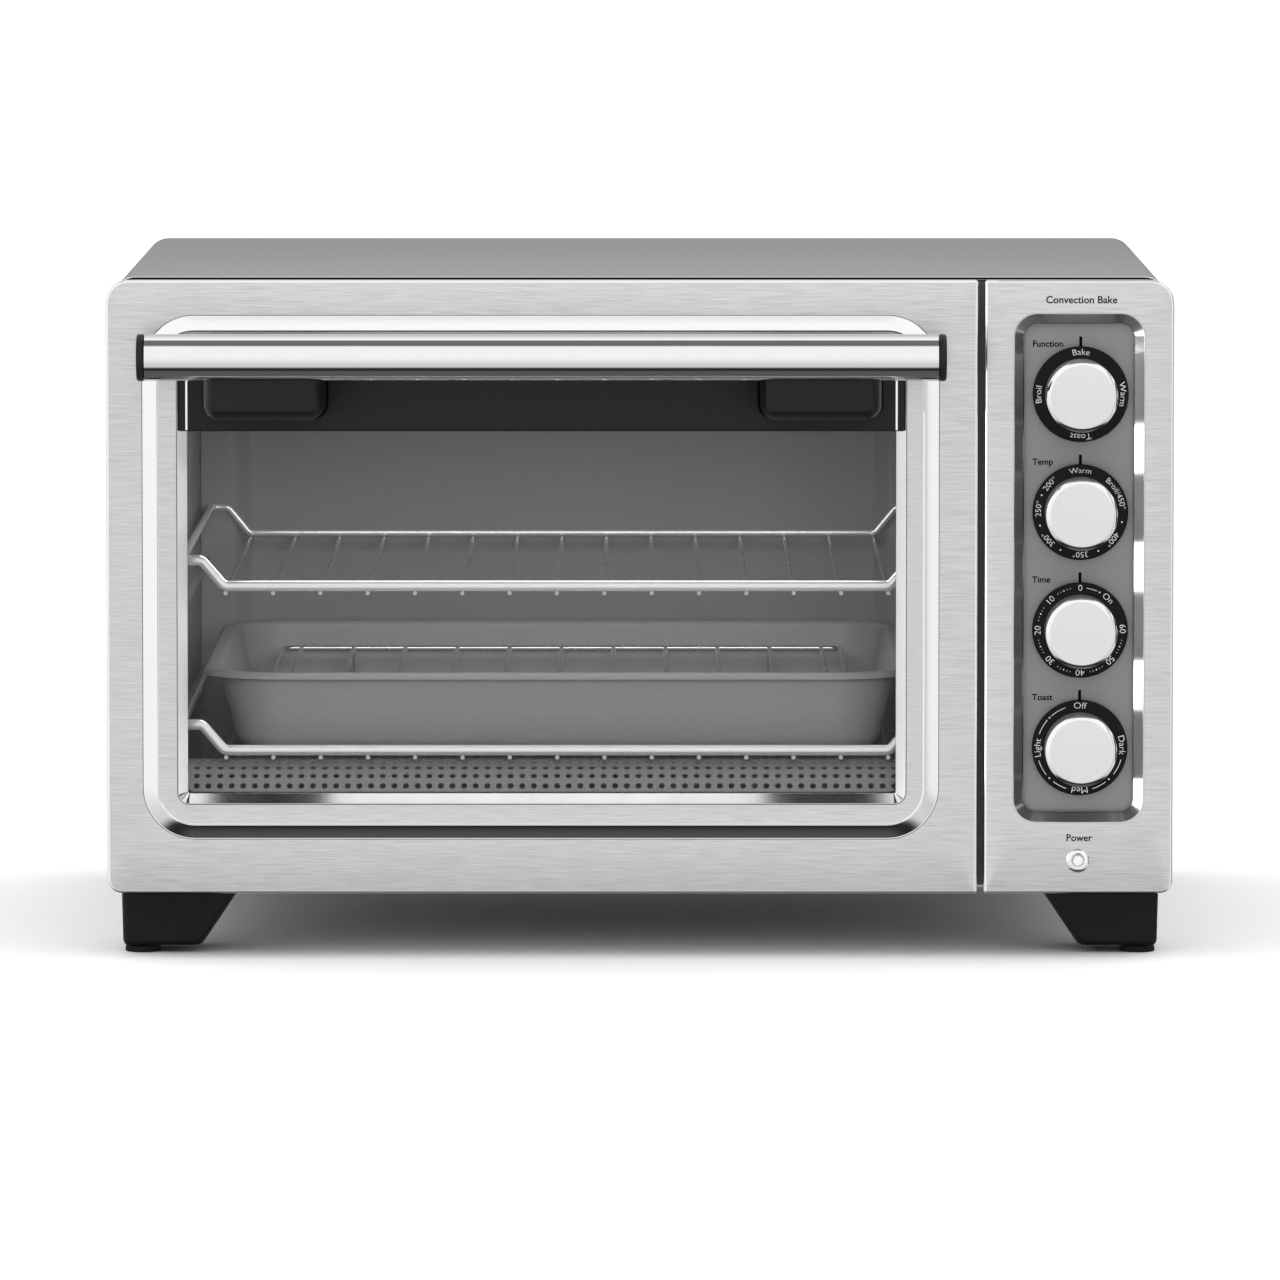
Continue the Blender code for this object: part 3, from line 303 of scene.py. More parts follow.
def merge(bm, part):
    """Adds one mesh under construction to another."""
    scratch = as_mesh(part, "scratch")
    bm.from_mesh(scratch)
    bpy.data.meshes.remove(scratch)


def worked_out(item):
    """The mesh that an object shows once its curve or its modifiers are worked out."""
    bpy.context.view_layer.update()
    return bpy.data.meshes.new_from_object(item.evaluated_get(bpy.context.evaluated_depsgraph_get()))


def smooth(mesh, angle=30):
    mesh.shade_smooth()
    mesh.set_sharp_from_angle(angle=math.radians(angle))


def piece(name, bm, finishes, body, slot, *stands_for, angle=30):
    bmesh.ops.recalc_face_normals(bm, faces=bm.faces)
    mesh = as_mesh(bm, name)
    for finish in finishes if isinstance(finishes, list) else [finishes]:
        mesh.materials.append(finish)
    smooth(mesh, angle)
    return mount(placed(name, mesh), body, slot, *stands_for)


def skin(sections, ring=False):
    """Joins equal outlines in order. A section is (points, finish number for the band after it)."""
    bm = bmesh.new()
    loops = [[bm.verts.new(point) for point in points] for points, _ in sections]
    order = list(range(len(loops)))
    pairs = list(zip(order, order[1:]))
    if ring:
        pairs.append((order[-1], 0))
    else:
        bm.faces.new(loops[0])
        bm.faces.new(loops[-1])
    count = len(loops[0])
    for a, b in pairs:
        for i in range(count):
            j = (i + 1) % count
            bm.faces.new((loops[a][i], loops[a][j], loops[b][j], loops[b][i])).material_index = sections[a][1]
    return bm


def at_depth(outline, depth):
    return [(x, behind(depth), z) for x, z in outline]


def along(axis):
    """The turn that takes local Z to a world direction."""
    return {
        "X": Matrix.Rotation(math.radians(90), 4, "Y"),
        "Y": Matrix.Rotation(math.radians(-90), 4, "X"),
        "-Y": Matrix.Rotation(math.radians(90), 4, "X"),
        "Z": Matrix.Identity(4),
        "-X": Matrix.Rotation(math.radians(-90), 4, "Y"),
    }[axis]


def spun(profile, origin, axis, steps=64):
    """Turns a closed or axis-to-axis (radius, height, finish) profile into a solid of revolution."""
    bm = bmesh.new()
    place = Matrix.Translation(origin) @ along(axis)
    rings = []
    for radius, height, _ in profile:
        if radius < 1e-7:
            rings.append([bm.verts.new(place @ Vector((0, 0, height)))])
            continue
        turns = [2 * math.pi * i / steps for i in range(steps)]
        rings.append([
            bm.verts.new(place @ Vector((radius * math.cos(t), radius * math.sin(t), height))) for t in turns
        ])
    spans = list(zip(range(len(rings)), range(1, len(rings))))
    if len(rings[0]) > 1:
        spans.append((len(rings) - 1, 0))
    for a, b in spans:
        first, second = rings[a], rings[b]
        for i in range(steps):
            j = (i + 1) % steps
            corners = [ring[k % len(ring)] for ring, k in ((first, i), (first, j), (second, j), (second, i))]
            unique = list(dict.fromkeys(corners))
            if len(unique) > 2:
                bm.faces.new(unique).material_index = profile[a][2]
    return bm


def block(low, high):
    """A box between two corners."""
    bm = bmesh.new()
    size = [b - a for a, b in zip(low, high)]
    middle = [(a + b) / 2 for a, b in zip(low, high)]
    bmesh.ops.create_cube(bm, size=1.0, matrix=Matrix.Translation(middle) @ Matrix.Diagonal((*size, 1)))
    return bm


def cut_with(item, bm):
    """Cuts a mesh out of a piece and keeps the result as the piece's own mesh."""
    cutter = placed("cutter", as_mesh(bm, "cutter"))
    item.modifiers.new("cut", "BOOLEAN").object = cutter
    item.data = worked_out(item)
    item.modifiers.clear()
    smooth(item.data)
    bpy.data.objects.remove(cutter)


# %% [markdown]
# The door is one sheet of steel pressed in a die. Seen in section from its edge inwards it has a
# returned side, a rolled edge, a flat, a ramp up to a raised field, the field itself, and a bevel
# that drops to the glass. Sweeping that section round rounded rectangles would be easy if all the
# rectangles were parallel, but each step has its own corner radius. So the sheet is skinned
# through a list of sections, each with its own bounds and radii, and the bands between them
# choose between brushed and polished steel.

# %% Door pressing
DOOR = face_of("door_frame")
DOOR_CORNERS = (0.0060, 0.0015, 0.0015, 0.0095)
RING_OUTER = (-0.2025, 0.1216, 0.0489, 0.2625)
RING_CORNER = 0.0210
RING_WIDTH = 0.0063
RAISE = 0.0026
WINDOW_OUTER = (-0.1883, 0.1082, 0.0635, 0.2483)
WINDOW_CORNER = 0.0047
WINDOW_BEVEL = 0.0039
WINDOW_LIP = 0.0014
EDGE = 0.0011
DOOR_DEPTH = 0.0140
DRAFT = 0.0007
RETURN_WALL = 0.0012
HINGE_ARMS = (-0.2015, 0.1195)
HINGE_SLOT, HINGE_SLOT_FRONT, HINGE_SLOT_TOP = 0.0070, 0.0040, 0.0360
BRUSHED, POLISHED, SLOPE, CREASED, BEVEL = 0, 1, 2, 3, 4


def held(profile, margin=0.00015):
    """Adds a point just inside both ends of each long stretch, so that the stretch shades flat."""
    points = [profile[0]]
    for start, end in zip(profile, profile[1:]):
        length = math.dist(start, end)
        if length > 8 * margin:
            for share in (margin / length, 1 - margin / length):
                points.append(tuple(a + (b - a) * share for a, b in zip(start, end)))
        points.append(end)
    return points


def stepped(bounds, radii, profile, finish):
    """Sections for one zone: each (inset, depth) point shrinks the outline and its corners."""
    sections = []
    for inset, depth in held(profile):
        if isinstance(radii, tuple):
            corner = tuple(radius - inset for radius in radii)
        else:
            corner = radii - inset
        sections.append((at_depth(rounded(grown(bounds, -inset), corner), depth), finish))
    return sections


def pressed_sheet(front_zones, depth):
    """Front sections outside in, then the same sheet's back, inside out, one sheet thickness deeper."""
    sections = []
    for bounds, radii, profile, finish, flat_after in front_zones:
        sections += stepped(bounds, radii, profile, finish)
        sections[-1] = (sections[-1][0], flat_after)
    for bounds, radii, profile, *_ in reversed(front_zones[1:]):
        inner = [(inset, d + SHEET) for inset, d in (profile[-1], profile[0])]
        sections += stepped(bounds, radii, inner, BRUSHED)
    hollow = grown(front_zones[0][0], -RETURN_WALL)
    hollow_corner = tuple(max(radius - RETURN_WALL, 0.0003) for radius in front_zones[0][1])
    for back in (SHEET, depth):
        sections.append((at_depth(rounded(hollow, hollow_corner), back), BRUSHED))
    return skin(sections, ring=True)


rolled_edge = eased([(DRAFT, DOOR_DEPTH), (0.0, EDGE), (EDGE * 0.35, EDGE * 0.25), (EDGE, 0.0)], 0.0005, 3)
CREASE = 0.00025
RAMP_RUN, RAMP_RISE, RAMP_CURVE, RAMP_STEPS = 0.0055, RAISE + 0.0005, 1.08, 8
crease = [(-0.0004, 0.0), (-0.0001, CREASE)]
ramp_up = []
for i in range(RAMP_STEPS + 1):
    share = i / RAMP_STEPS
    ramp_up.append((0.0002 + RAMP_RUN * share, CREASE - RAMP_RISE * (1 - (1 - share) ** RAMP_CURVE)))
ramp_up += [(0.0059, -RAISE - 0.00022), (0.0061, -RAISE - 0.00004), (RING_WIDTH, -RAISE)]
bevel_lip = [(-0.0005, -RAISE), (-0.0001, -RAISE)]
bevel_down = eased(
    [(-0.0001, -RAISE), (0.0, -RAISE), (WINDOW_BEVEL, WINDOW_LIP - 0.0001), (WINDOW_BEVEL, WINDOW_LIP)],
    0.00012, 2,
)
door_zones = [
    (DOOR, DOOR_CORNERS, rolled_edge, POLISHED, BRUSHED),
    (RING_OUTER, RING_CORNER, crease, CREASED, SLOPE),
    (RING_OUTER, RING_CORNER, ramp_up, SLOPE, BRUSHED),
    (WINDOW_OUTER, WINDOW_CORNER, bevel_lip, CREASED, BEVEL),
    (WINDOW_OUTER, WINDOW_CORNER, bevel_down, BEVEL, BRUSHED),
]
door_finishes = [brushed_steel, polished_edge, polished_slope, crease_shadow, bevel_steel]
door_mesh = pressed_sheet(door_zones, DOOR_DEPTH)
door_sheet = piece("door_pressing", door_mesh, door_finishes, "door", "brushed_steel", "door_frame")
for x in HINGE_ARMS:
    slot_low = (x - HINGE_SLOT / 2, behind(HINGE_SLOT_FRONT), DOOR[2] - 0.001)
    slot_high = (x + HINGE_SLOT / 2, behind(DOOR_DEPTH + 0.002), HINGE_SLOT_TOP)
    cut_with(door_sheet, block(slot_low, slot_high))
print("door pressing faces:", len(door_sheet.data.polygons))

# %% [markdown]
# The door's back, which shows when it is open, is a black painted panel with a window, held by
# screws. The glass sits between the two sheets. It stays the frame's own pane: a flat pane needs no
# more shape, only a clear finish that lets the inside show.

# %% Door back and glass
def screw_heads(places, axis, radius=0.0030, height=0.0012):
    """Pan heads with a cross recess, as one mesh of separate screws."""
    bm = bmesh.new()
    for origin in places:
        dome = [(radius * math.cos(a), height * math.sin(a), 0) for a in (1.35, 1.05, 0.7, 0.35)]
        profile = [(0.0, height, 0), *dome, (radius, -0.0002, 0), (0.0, -0.0002, 0)]
        merge(bm, spun(profile, origin, axis, 20))
        place = Matrix.Translation(origin) @ along(axis)
        cross_arm = Matrix.Translation((0, 0, height)) @ Matrix.Diagonal((radius * 1.1, 0.0005, 0.0003, 1))
        # The cross recess is two thin bars in a near-black finish: painted shade, not a cut.
        for turn in (0, 90):
            shape = place @ Matrix.Rotation(math.radians(turn + 20), 4, "Z") @ cross_arm
            first = len(bm.faces)
            bmesh.ops.create_cube(bm, size=1.0, matrix=shape)
            bm.faces.ensure_lookup_table()
            for face in bm.faces[first:]:
                face.material_index = 1
    return bm


def finish_node(name, finish):
    """Gives a solid of the frame a better material."""
    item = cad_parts[name]
    item.data.materials.clear()
    item.data.materials.append(finish)


finish_node("door_glass", door_glass)
finish_node("door_inner_panel", frame_paint)
inner_low, inner_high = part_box("door_inner_panel")
screw_x = [inner_low[0] + 0.010, inner_low[0] + 0.120, inner_low[0] + 0.232, inner_high[0] - 0.010]
door_screws = [(x, inner_high[1], z) for x in screw_x for z in (inner_low[2] + 0.024, inner_high[2] - 0.012)]
piece("door_back_screws", screw_heads(door_screws, "Y"), [zinc_sheet, slot_dark], "door", "plated_steel")
print("door back screws:", len(door_screws))

# %% [markdown]
# Across the top of the window runs a dark moulded bar, which hides the upper heater and carries
# the handle. Its ends are cut back to follow the window's bevel, and its front edges are softened,
# so a thin line of light separates it from the steel. The two posts stand on it, with big rounded
# lower corners and soft sides, and are scooped out at the front to hold the tube.

# %% Window bar
STRIP = face_of("door_trim_strip")
END_SLOPE = 0.0033
strip_profile = [
    (0.0036, WINDOW_LIP + SHEET), (0.0036, WINDOW_LIP - 0.0002), (0.0002, -RAISE + 0.0002),
    (0.0001, -RAISE - 0.0001), (END_SLOPE, -RAISE - 0.0007), (END_SLOPE + 0.0004, -RAISE - 0.0009),
]


def strip_section(inset, depth):
    x0, x1, z0, z1 = STRIP
    upright = min(inset, 0.0009)
    shrunk = (x0 + inset, x1 - inset, z0 + upright, z1 - upright)
    return at_depth(rounded(shrunk, (0.0006, 0.0006, 0.0040, 0.0040), 6), depth)


strip_sections = [(strip_section(inset, depth), 0) for inset, depth in strip_profile]
piece("window_bar", skin(strip_sections), black_plastic, "door", "black_plastic", "door_trim_strip")
for side, x in (("left", STRIP[0] + END_SLOPE), ("right", STRIP[1] - END_SLOPE)):
    low = (x - 0.0004, behind(-RAISE - 0.0010), STRIP[2] + 0.0006)
    high = (x + 0.0004, behind(-RAISE + 0.0010), STRIP[3] - 0.0030)
    piece(f"bar_inlay_{side}", block(low, high), polished_edge, "door", "bright_trim")

# %% Handle posts
bar_low, bar_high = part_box("handle_bar")
_, HANDLE_Y, HANDLE_Z = middle_of("handle_bar")
HANDLE_RADIUS = (bar_high[2] - bar_low[2]) / 2


def handle_post(side):
    """A block with soft sides whose front is scooped to the tube, built from rows of depth."""
    post_node = f"handle_post_{side}"
    bounds = face_of(post_node)
    back_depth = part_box(post_node)[1][1] - FRONT
    front_depth = HANDLE_Y + 0.0040 - FRONT
    corner = (0.0062, 0.0062, 0.0035, 0.0035)
    profile = [(0.0, back_depth)]
    for i in range(9):
        turn = math.radians(90 * i / 8)
        inset = 0.0052 * (1 - math.cos(turn))
        profile.append((inset, front_depth + 0.0090 * (1 - math.sin(turn))))
    sections = []
    for inset, depth in profile:
        radii = tuple(max(radius - inset * 0.8, 0.0010) for radius in corner)
        sections.append((at_depth(rounded(grown(bounds, -inset), radii, 10), depth), 0))
    post = piece(f"{post_node}_fine", skin(sections), post_plastic, "door", "black_plastic", post_node)
    gasket = rounded(grown(bounds, 0.0010), (0.0068, 0.0068, 0.0035, 0.0035), 10)
    rows = [(at_depth(gasket, depth), 0) for depth in (back_depth, back_depth - 0.0004)]
    piece(f"post_gasket_{side}", skin(rows), legend_black, "door", "black_plastic")
    start = Vector((bar_low[0] - 0.01, HANDLE_Y, HANDLE_Z))
    ring = HANDLE_RADIUS + 0.0003
    scoop = spun([(0, 0, 0), (ring, 0, 0), (ring, 0.36, 0), (0, 0.36, 0)], start, "X", 96)
    bmesh.ops.recalc_face_normals(scoop, faces=scoop.faces)
    cut_with(post, scoop)


for side in ("left", "right"):
    handle_post(side)

# %% [markdown]
# The handle is a straight steel tube, satin along its length, closed by two black plugs with
# rounded rims. A tube and its plugs are bodies of revolution, so they are spun from profiles. The
# profile is eased first, because a sharp plug edge would look like cut plastic pipe.

# %% Handle tube and plugs
tube_length = bar_high[0] - bar_low[0]
tube_profile = [
    (HANDLE_RADIUS - 0.0012, 0.0, 0), (HANDLE_RADIUS - 0.0002, 0.0, 0), (HANDLE_RADIUS, 0.0002, 0),
    (HANDLE_RADIUS, tube_length - 0.0002, 0), (HANDLE_RADIUS - 0.0002, tube_length, 0),
    (HANDLE_RADIUS - 0.0012, tube_length, 0),
]
tube_start = (bar_low[0], HANDLE_Y, HANDLE_Z)
tube = spun(tube_profile, tube_start, "X", 96)
piece("handle_tube", tube, handle_steel, "door", "polished_steel", "handle_bar")

for side, axis in (("left", "-X"), ("right", "X")):
    cap_low, cap_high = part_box(f"handle_cap_{side}")
    length = cap_high[0] - cap_low[0]
    rim = eased([(HANDLE_RADIUS, 0.0), (HANDLE_RADIUS, length), (0.0, length)], 0.0016, 8)
    profile = [(0.0, 0.0, 0), *[(r, h, 0) for r, h in rim]]
    start_x = cap_high[0] if side == "left" else cap_low[0]
    plug = spun(profile, (start_x, HANDLE_Y, HANDLE_Z), axis, 64)
    piece(f"handle_plug_{side}", plug, black_plastic, "door", "black_plastic", f"handle_cap_{side}")
print("handle length in mm:", round(1000 * tube_length, 1))

# %% [markdown]
# The control panel is pressed from the same steel. Here the die went inwards: a slope runs down to
# a long recess whose floor is a separate grey plate. The slope is polished, and it is steep, so
# each of its four sides mirrors a different part of the room. Its steel is given a darker colour
# than the door's polished slopes: painted shade that dims what the slope mirrors.

# %% Control panel
PANEL = face_of("control_panel")
PANEL_CORNERS = (0.0015, 0.0052, 0.0098, 0.0015)
RECESS_OUTER = (0.1523, 0.2053, 0.0555, 0.2633)
RECESS_CORNER = 0.0095
RECESS_SLOPE = 0.0039
RECESS_DEPTH = 0.0043
PANEL_DEPTH = 0.0165

slope_down = eased(
    [(-0.0006, 0.0), (0.0, 0.0), (RECESS_SLOPE, 0.0029), (RECESS_SLOPE + 0.0003, 0.0033),
     (RECESS_SLOPE + 0.0003, RECESS_DEPTH)], 0.0006, 4,
)
panel_edge = [(inset, PANEL_DEPTH if depth == DOOR_DEPTH else depth) for inset, depth in rolled_edge]
panel_zones = [
    (PANEL, PANEL_CORNERS, panel_edge, POLISHED, BRUSHED),
    (RECESS_OUTER, RECESS_CORNER, slope_down, SLOPE, BRUSHED),
]
fascia = piece(
    "control_fascia", pressed_sheet(panel_zones, PANEL_DEPTH),
    [brushed_steel, polished_edge, recess_steel], "body", "brushed_steel", "control_panel",
)
finish_node("dial_plate", dial_grey)

# %% [markdown]
# Each control is a spun cap over a printed dial. The cap has a satin face, a bright cut ring round
# it, and a body that widens a little towards the dial. Cutting the ring as its own band with its
# own finish gives the crisp circle of light that a diamond-cut knob has.

# %% Knobs and dials
KNOBS = ("function", "temperature", "timer", "toast")
SATIN, BRIGHT, SIDE = 0, 1, 2
for knob in KNOBS:
    cap_low, cap_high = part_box(f"{knob}_knob")
    dial_low, dial_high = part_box(f"{knob}_dial")
    cap_x, _, cap_z = middle_of(f"{knob}_knob")
    radius = (cap_high[0] - cap_low[0]) / 2
    height = cap_high[1] - cap_low[1]
    face = radius - 0.0017
    cap_profile = [
        (0.0, height, SATIN), (face - 0.0001, height, BRIGHT), (face + 0.0001, height - 0.00006, BRIGHT),
        (radius - 0.0002, height - 0.00076, BRIGHT), (radius - 0.00004, height - 0.0010, BRIGHT),
        (radius, height - 0.0026, SIDE),
        (radius - 0.0004, 0.0030, SIDE), (radius, 0.0, SIDE), (radius - 0.0015, 0.0, SIDE),
        (radius - 0.0015, height - 0.0030, SATIN), (0.0, height - 0.0030, SATIN),
    ]
    cap = spun(cap_profile, (cap_x, cap_high[1], cap_z), "-Y", 96)
    cap_finishes = [knob_satin, polished_edge, knob_side]
    piece(f"{knob}_cap_fine", cap, cap_finishes, f"{knob}_control", "knob_face", f"{knob}_knob")
    outer = (dial_high[0] - dial_low[0]) / 2
    thick = dial_high[1] - dial_low[1]
    dial_profile = [
        (0.0033, thick, 0), (outer - 0.0008, thick, 0), (outer - 0.0003, thick - 0.0002, 0),
        (outer, thick - 0.0007, 0), (outer, 0.0, 0), (0.0033, 0.0, 0),
    ]
    dial = spun(dial_profile, (cap_x, dial_high[1], cap_z), "-Y", 96)
    piece(f"{knob}_dial_fine", dial, dial_black, f"{knob}_control", "dial_black", f"{knob}_dial")
    finish_node(f"{knob}_shaft", zinc_sheet)
knob_pitch = middle_of("function_knob")[2] - middle_of("temperature_knob")[2]
print("knob pitch in mm:", round(1000 * knob_pitch, 2))

# %% [markdown]
# Printed legends are thin shapes that follow a circle. A text object is straight, so its mesh is
# bent: the distance along the line becomes an angle round the dial, and the height above the line
# becomes a radius. The words stand a few hundredths of a millimetre proud, like real ink.

# %% Lettering tools
INK = 0.00004


def flat_text(words, size, weight=0.0):
    """The flat mesh of some words, centred on its own middle; weight thickens the strokes."""
    curve = bpy.data.curves.new("words", "FONT")
    curve.offset = weight
    curve.body = words
    curve.size = size
    curve.align_x = "CENTER"
    curve.resolution_u = 3
    item = placed("words", curve)
    mesh = worked_out(item)
    bpy.data.objects.remove(item)
    return mesh


def inked(name, shapes, body, finish, slot):
    """One piece from (mesh, function that places a flat point) pairs, given a little thickness."""
    bm = bmesh.new()
    for mesh, place in shapes:
        flat = bmesh.new()
        flat.from_mesh(mesh)
        bmesh.ops.remove_doubles(flat, verts=flat.verts, dist=0.000001)
        for vert in flat.verts:
            vert.co = place(vert.co.x, vert.co.y)
        merge(bm, flat)
        bpy.data.meshes.remove(mesh)
    made = bmesh.ops.extrude_face_region(bm, geom=bm.faces[:])
    lifted = [item for item in made["geom"] if isinstance(item, bmesh.types.BMVert)]
    bmesh.ops.translate(bm, verts=lifted, vec=(0, -INK, 0))
    return piece(name, bm, finish, body, slot)


def round_dial(centre_x, centre_z, y, clock, radius):
    """Places flat points on a circle; clock is degrees clockwise from the top, seen from the front."""
    def place(u, v):
        angle = math.radians(clock) + u / radius
        reach = radius + v
        return (centre_x + reach * math.sin(angle), y, centre_z + reach * math.cos(angle))
    return place


def dot_mesh(radius, sides=12):
    bm = bmesh.new()
    bmesh.ops.create_circle(bm, cap_ends=True, segments=sides, radius=radius)
    return as_mesh(bm, "dot")


def bar_mesh(length, width, cuts=12):
    """A straight line along X, cut across so that it can bend."""
    bm = bmesh.new()
    xs = [length * (i / cuts - 0.5) for i in range(cuts + 1)]
    rows = [(bm.verts.new((x, -width / 2, 0)), bm.verts.new((x, width / 2, 0))) for x in xs]
    for (a, b), (c, d) in zip(rows, rows[1:]):
        bm.faces.new((a, c, d, b))
    return as_mesh(bm, "line")


# %% [markdown]
# Which words go where is design, not geometry, so it is written as small lists: an angle clockwise
# from the pointer, and a word. Warm to broil runs anticlockwise on the temperature dial, because
# turning the knob clockwise brings the next number up to the fixed mark.

# %% Dial legends
LETTER_ROW = 0.01615
PRINT_GAP = 0.00002
THIN, BOLD = -0.00004, 0.00007
WORDS = {
    "function": [(0, "Bake"), (90, "Warm"), (180, "Toast"), (270, "Broil")],
    "temperature": [
        (0, "Warm"), (-47, "200°"), (-85, "250°"), (-130, "300°"), (180, "350°"), (130, "400°"),
        (62, "Broil/450°"),
    ],
    "timer": [
        (0, "0"), (-45, "10"), (-90, "20"), (-135, "30"), (180, "40"), (135, "50"), (88, "60"), (41, "On"),
    ],
    "toast": [(0, "Off"), (-90, "Light"), (180, "Med"), (86, "Dark")],
}
WORD_SIZE = {"function": 0.0036, "temperature": 0.0033, "timer": 0.0036, "toast": 0.0037}
DOTS = {
    "temperature": [-66, -108, -152, 155, 103],
    "toast": [-45, -135, 137],
    "timer": [27],
}
LINES = {"toast": [(-31, 22), (-60, 22), (-118, 22), (-152, 20), (153, 20), (117, 22)], "timer": [(16, 15)]}

for knob in KNOBS:
    cx, _, cz = middle_of(f"{knob}_dial")
    face_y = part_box(f"{knob}_dial")[0][1] - PRINT_GAP
    size = WORD_SIZE[knob]
    middle = LETTER_ROW + size * 0.36
    shapes = [(flat_text(word, size, THIN), clock, LETTER_ROW) for clock, word in WORDS[knob]]
    shapes += [(dot_mesh(0.00034), clock, middle) for clock in DOTS.get(knob, [])]
    for clock, sweep in LINES.get(knob, []):
        shapes.append((bar_mesh(math.radians(sweep) * middle, 0.00024), clock, middle))
    if knob == "timer":
        for tens in range(6):
            for minute in range(3, 8):
                dot = 0.00030 if minute == 5 else 0.00018
                shapes.append((dot_mesh(dot, 8), -45 * tens - 4.5 * minute, middle))
    shapes = [(mesh, round_dial(cx, cz, face_y, clock, reach)) for mesh, clock, reach in shapes]
    inked(f"{knob}_legend", shapes, f"{knob}_control", legend_white, "lamp_lens")

# %% Panel legends and marks
def straight(x, z, y):
    return lambda u, v: (x + u, y, z + v)


TITLES = {"function": "Function", "temperature": "Temp", "timer": "Time", "toast": "Toast"}
TITLE_X = 0.1600
plate_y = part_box("dial_plate")[0][1] - PRINT_GAP
marks = []
for knob in KNOBS:
    cx, top = middle_of(f"{knob}_dial")[0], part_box(f"{knob}_dial")[1][2]
    title = flat_text(TITLES[knob], 0.0036, BOLD)
    half = max(vert.co.x for vert in title.vertices)
    marks.append((title, straight(TITLE_X + half, top - 0.0002, plate_y)))
    marks.append((bar_mesh(0.0012, 0.0040, 2), straight(cx, top + 0.0019, plate_y)))
inked("plate_legends", marks, "body", legend_black, "dial_black")

LAMP = middle_of("power_lens")
face_y = FRONT - PRINT_GAP
panel_words = [
    (flat_text(word, size, BOLD), straight(LAMP[0] + shift, height, face_y)) for word, size, shift, height in (
        ("Convection Bake", 0.0042, 0.0008, RECESS_OUTER[3] + 0.0044), ("Power", 0.0040, 0.0004, LAMP[2] + 0.0080),
    )
]
inked("panel_legends", panel_words, "body", legend_black, "dial_black")
print("legends:", sum(len(words) for words in WORDS.values()), "words on the dials")

# %% [markdown]
# The power light is a polished ring pressed into the steel round a milky lens.

# %% Power light
ring_profile = [
    (0.0024, -0.0100, 0), (0.0024, 0.0006, 0), (0.0027, 0.0011, 0), (0.0032, 0.0013, 0), (0.0040, 0.0011, 0),
    (0.0046, 0.0007, 0), (0.0049, 0.0001, 0), (0.0049, -0.0002, 0), (0.0037, -0.0002, 0),
    (0.0037, -0.0100, 0),
]
lamp_place = (LAMP[0], FRONT, LAMP[2])
lamp_ring = spun(ring_profile, lamp_place, "-Y", 64)
piece("power_ring", lamp_ring, polished_edge, "body", "bright_trim", "power_bezel")
lens_profile = [(0.0022 * math.sin(a), 0.0004 + 0.0010 * math.cos(a), 0) for a in (0, 0.4, 0.8, 1.2, 1.57)]
lens_profile += [(0.0022, -0.0120, 0), (0.0, -0.0120, 0)]
lamp_lens = spun(lens_profile, lamp_place, "-Y", 48)
piece("power_lens_fine", lamp_lens, lamp_white, "body", "lamp_lens", "power_lens")

# %% [markdown]
# The cover is one sheet folded over the oven, painted satin grey. Its front edge is left bright,
# which draws a thin line round the oven behind the door. The sides carry rows of cooling slots
# that are real cuts. The folds have a 9.5 mm radius, and are drawn with enough steps to look round.

# %% Cover
_, COVER_HALF, COVER_BOTTOM, COVER_TOP = face_of("outer_cover")
COVER_FRONT, COVER_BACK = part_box("outer_cover")[0][1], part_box("outer_cover")[1][1]
COVER_RADIUS = 0.0095
EDGE_STEP = 0.0009


def arch(half, top, bottom, radius, steps=14):
    points = [(-half, bottom)]
    for centre_x, first in ((-half + radius, 180), (half - radius, 90)):
        for i in range(steps + 1):
            angle = math.radians(first - 90 * i / steps)
            points.append((centre_x + radius * math.cos(angle), top - radius + radius * math.sin(angle)))
    points.append((half, bottom))
    return points


def cover_loop(shrink, y):
    outside = arch(COVER_HALF - shrink, COVER_TOP - shrink, COVER_BOTTOM, COVER_RADIUS - shrink)
    inner = SHEET + EDGE_STEP
    inside = arch(COVER_HALF - inner, COVER_TOP - inner, COVER_BOTTOM, COVER_RADIUS - 0.0018)
    return [(x, y, z) for x, z in outside + inside[::-1]]


# SHADOW is the narrow step just inside the front edge, coloured near black as painted shade for the gap behind the
# door.
PAINT, RIM, SHADOW = 0, 1, 2
cover = skin([
    (cover_loop(EDGE_STEP, COVER_FRONT), SHADOW), (cover_loop(EDGE_STEP, COVER_FRONT + 0.0022), SHADOW),
    (cover_loop(0.0003, COVER_FRONT + 0.0022), RIM), (cover_loop(0.0, COVER_FRONT + 0.0027), RIM),
    (cover_loop(0.0, COVER_FRONT + 0.0032), PAINT), (cover_loop(0.0, COVER_BACK), PAINT),
])


def slot_row(x, y_first, y_last, z_low, z_high, count, width=0.0030, reach=0.004):
    """Upright round-ended slots as cutters, side by side along Y, through a wall at x."""
    bm = bmesh.new()
    for i in range(count):
        y = y_first + (y_last - y_first) * i / (count - 1)
        outline = rounded((y - width / 2, y + width / 2, z_low, z_high), width / 2 - 0.0001, 5)
        merge(bm, skin([([(side, u, v) for u, v in outline], 0) for side in (x - reach, x + reach)]))
    bmesh.ops.recalc_face_normals(bm, faces=bm.faces)
    return bm


cover_finishes = [cover_paint, polished_edge, slot_dark]
cover_item = piece("cover_shell", cover, cover_finishes, "body", "cover_paint", "outer_cover", angle=40)
for side in (-1, 1):
    rows = ((0.215, 0.240), (0.075, 0.100)) if side > 0 else ((0.215, 0.240),)
    for z_low, z_high in rows:
        cut_with(cover_item, slot_row(side * COVER_HALF, behind(0.075), behind(0.285), z_low, z_high, 24))
print("cover faces:", len(cover_item.data.polygons))

# %% [markdown]
# The back is a plain zinc-plated sheet. It has louvre slots behind the controls and above the
# cavity, a slot for the crumb tray, the cord's rubber gland, and a row of screws. It is seen
# rarely, but an appliance without a believable back looks like a toy.

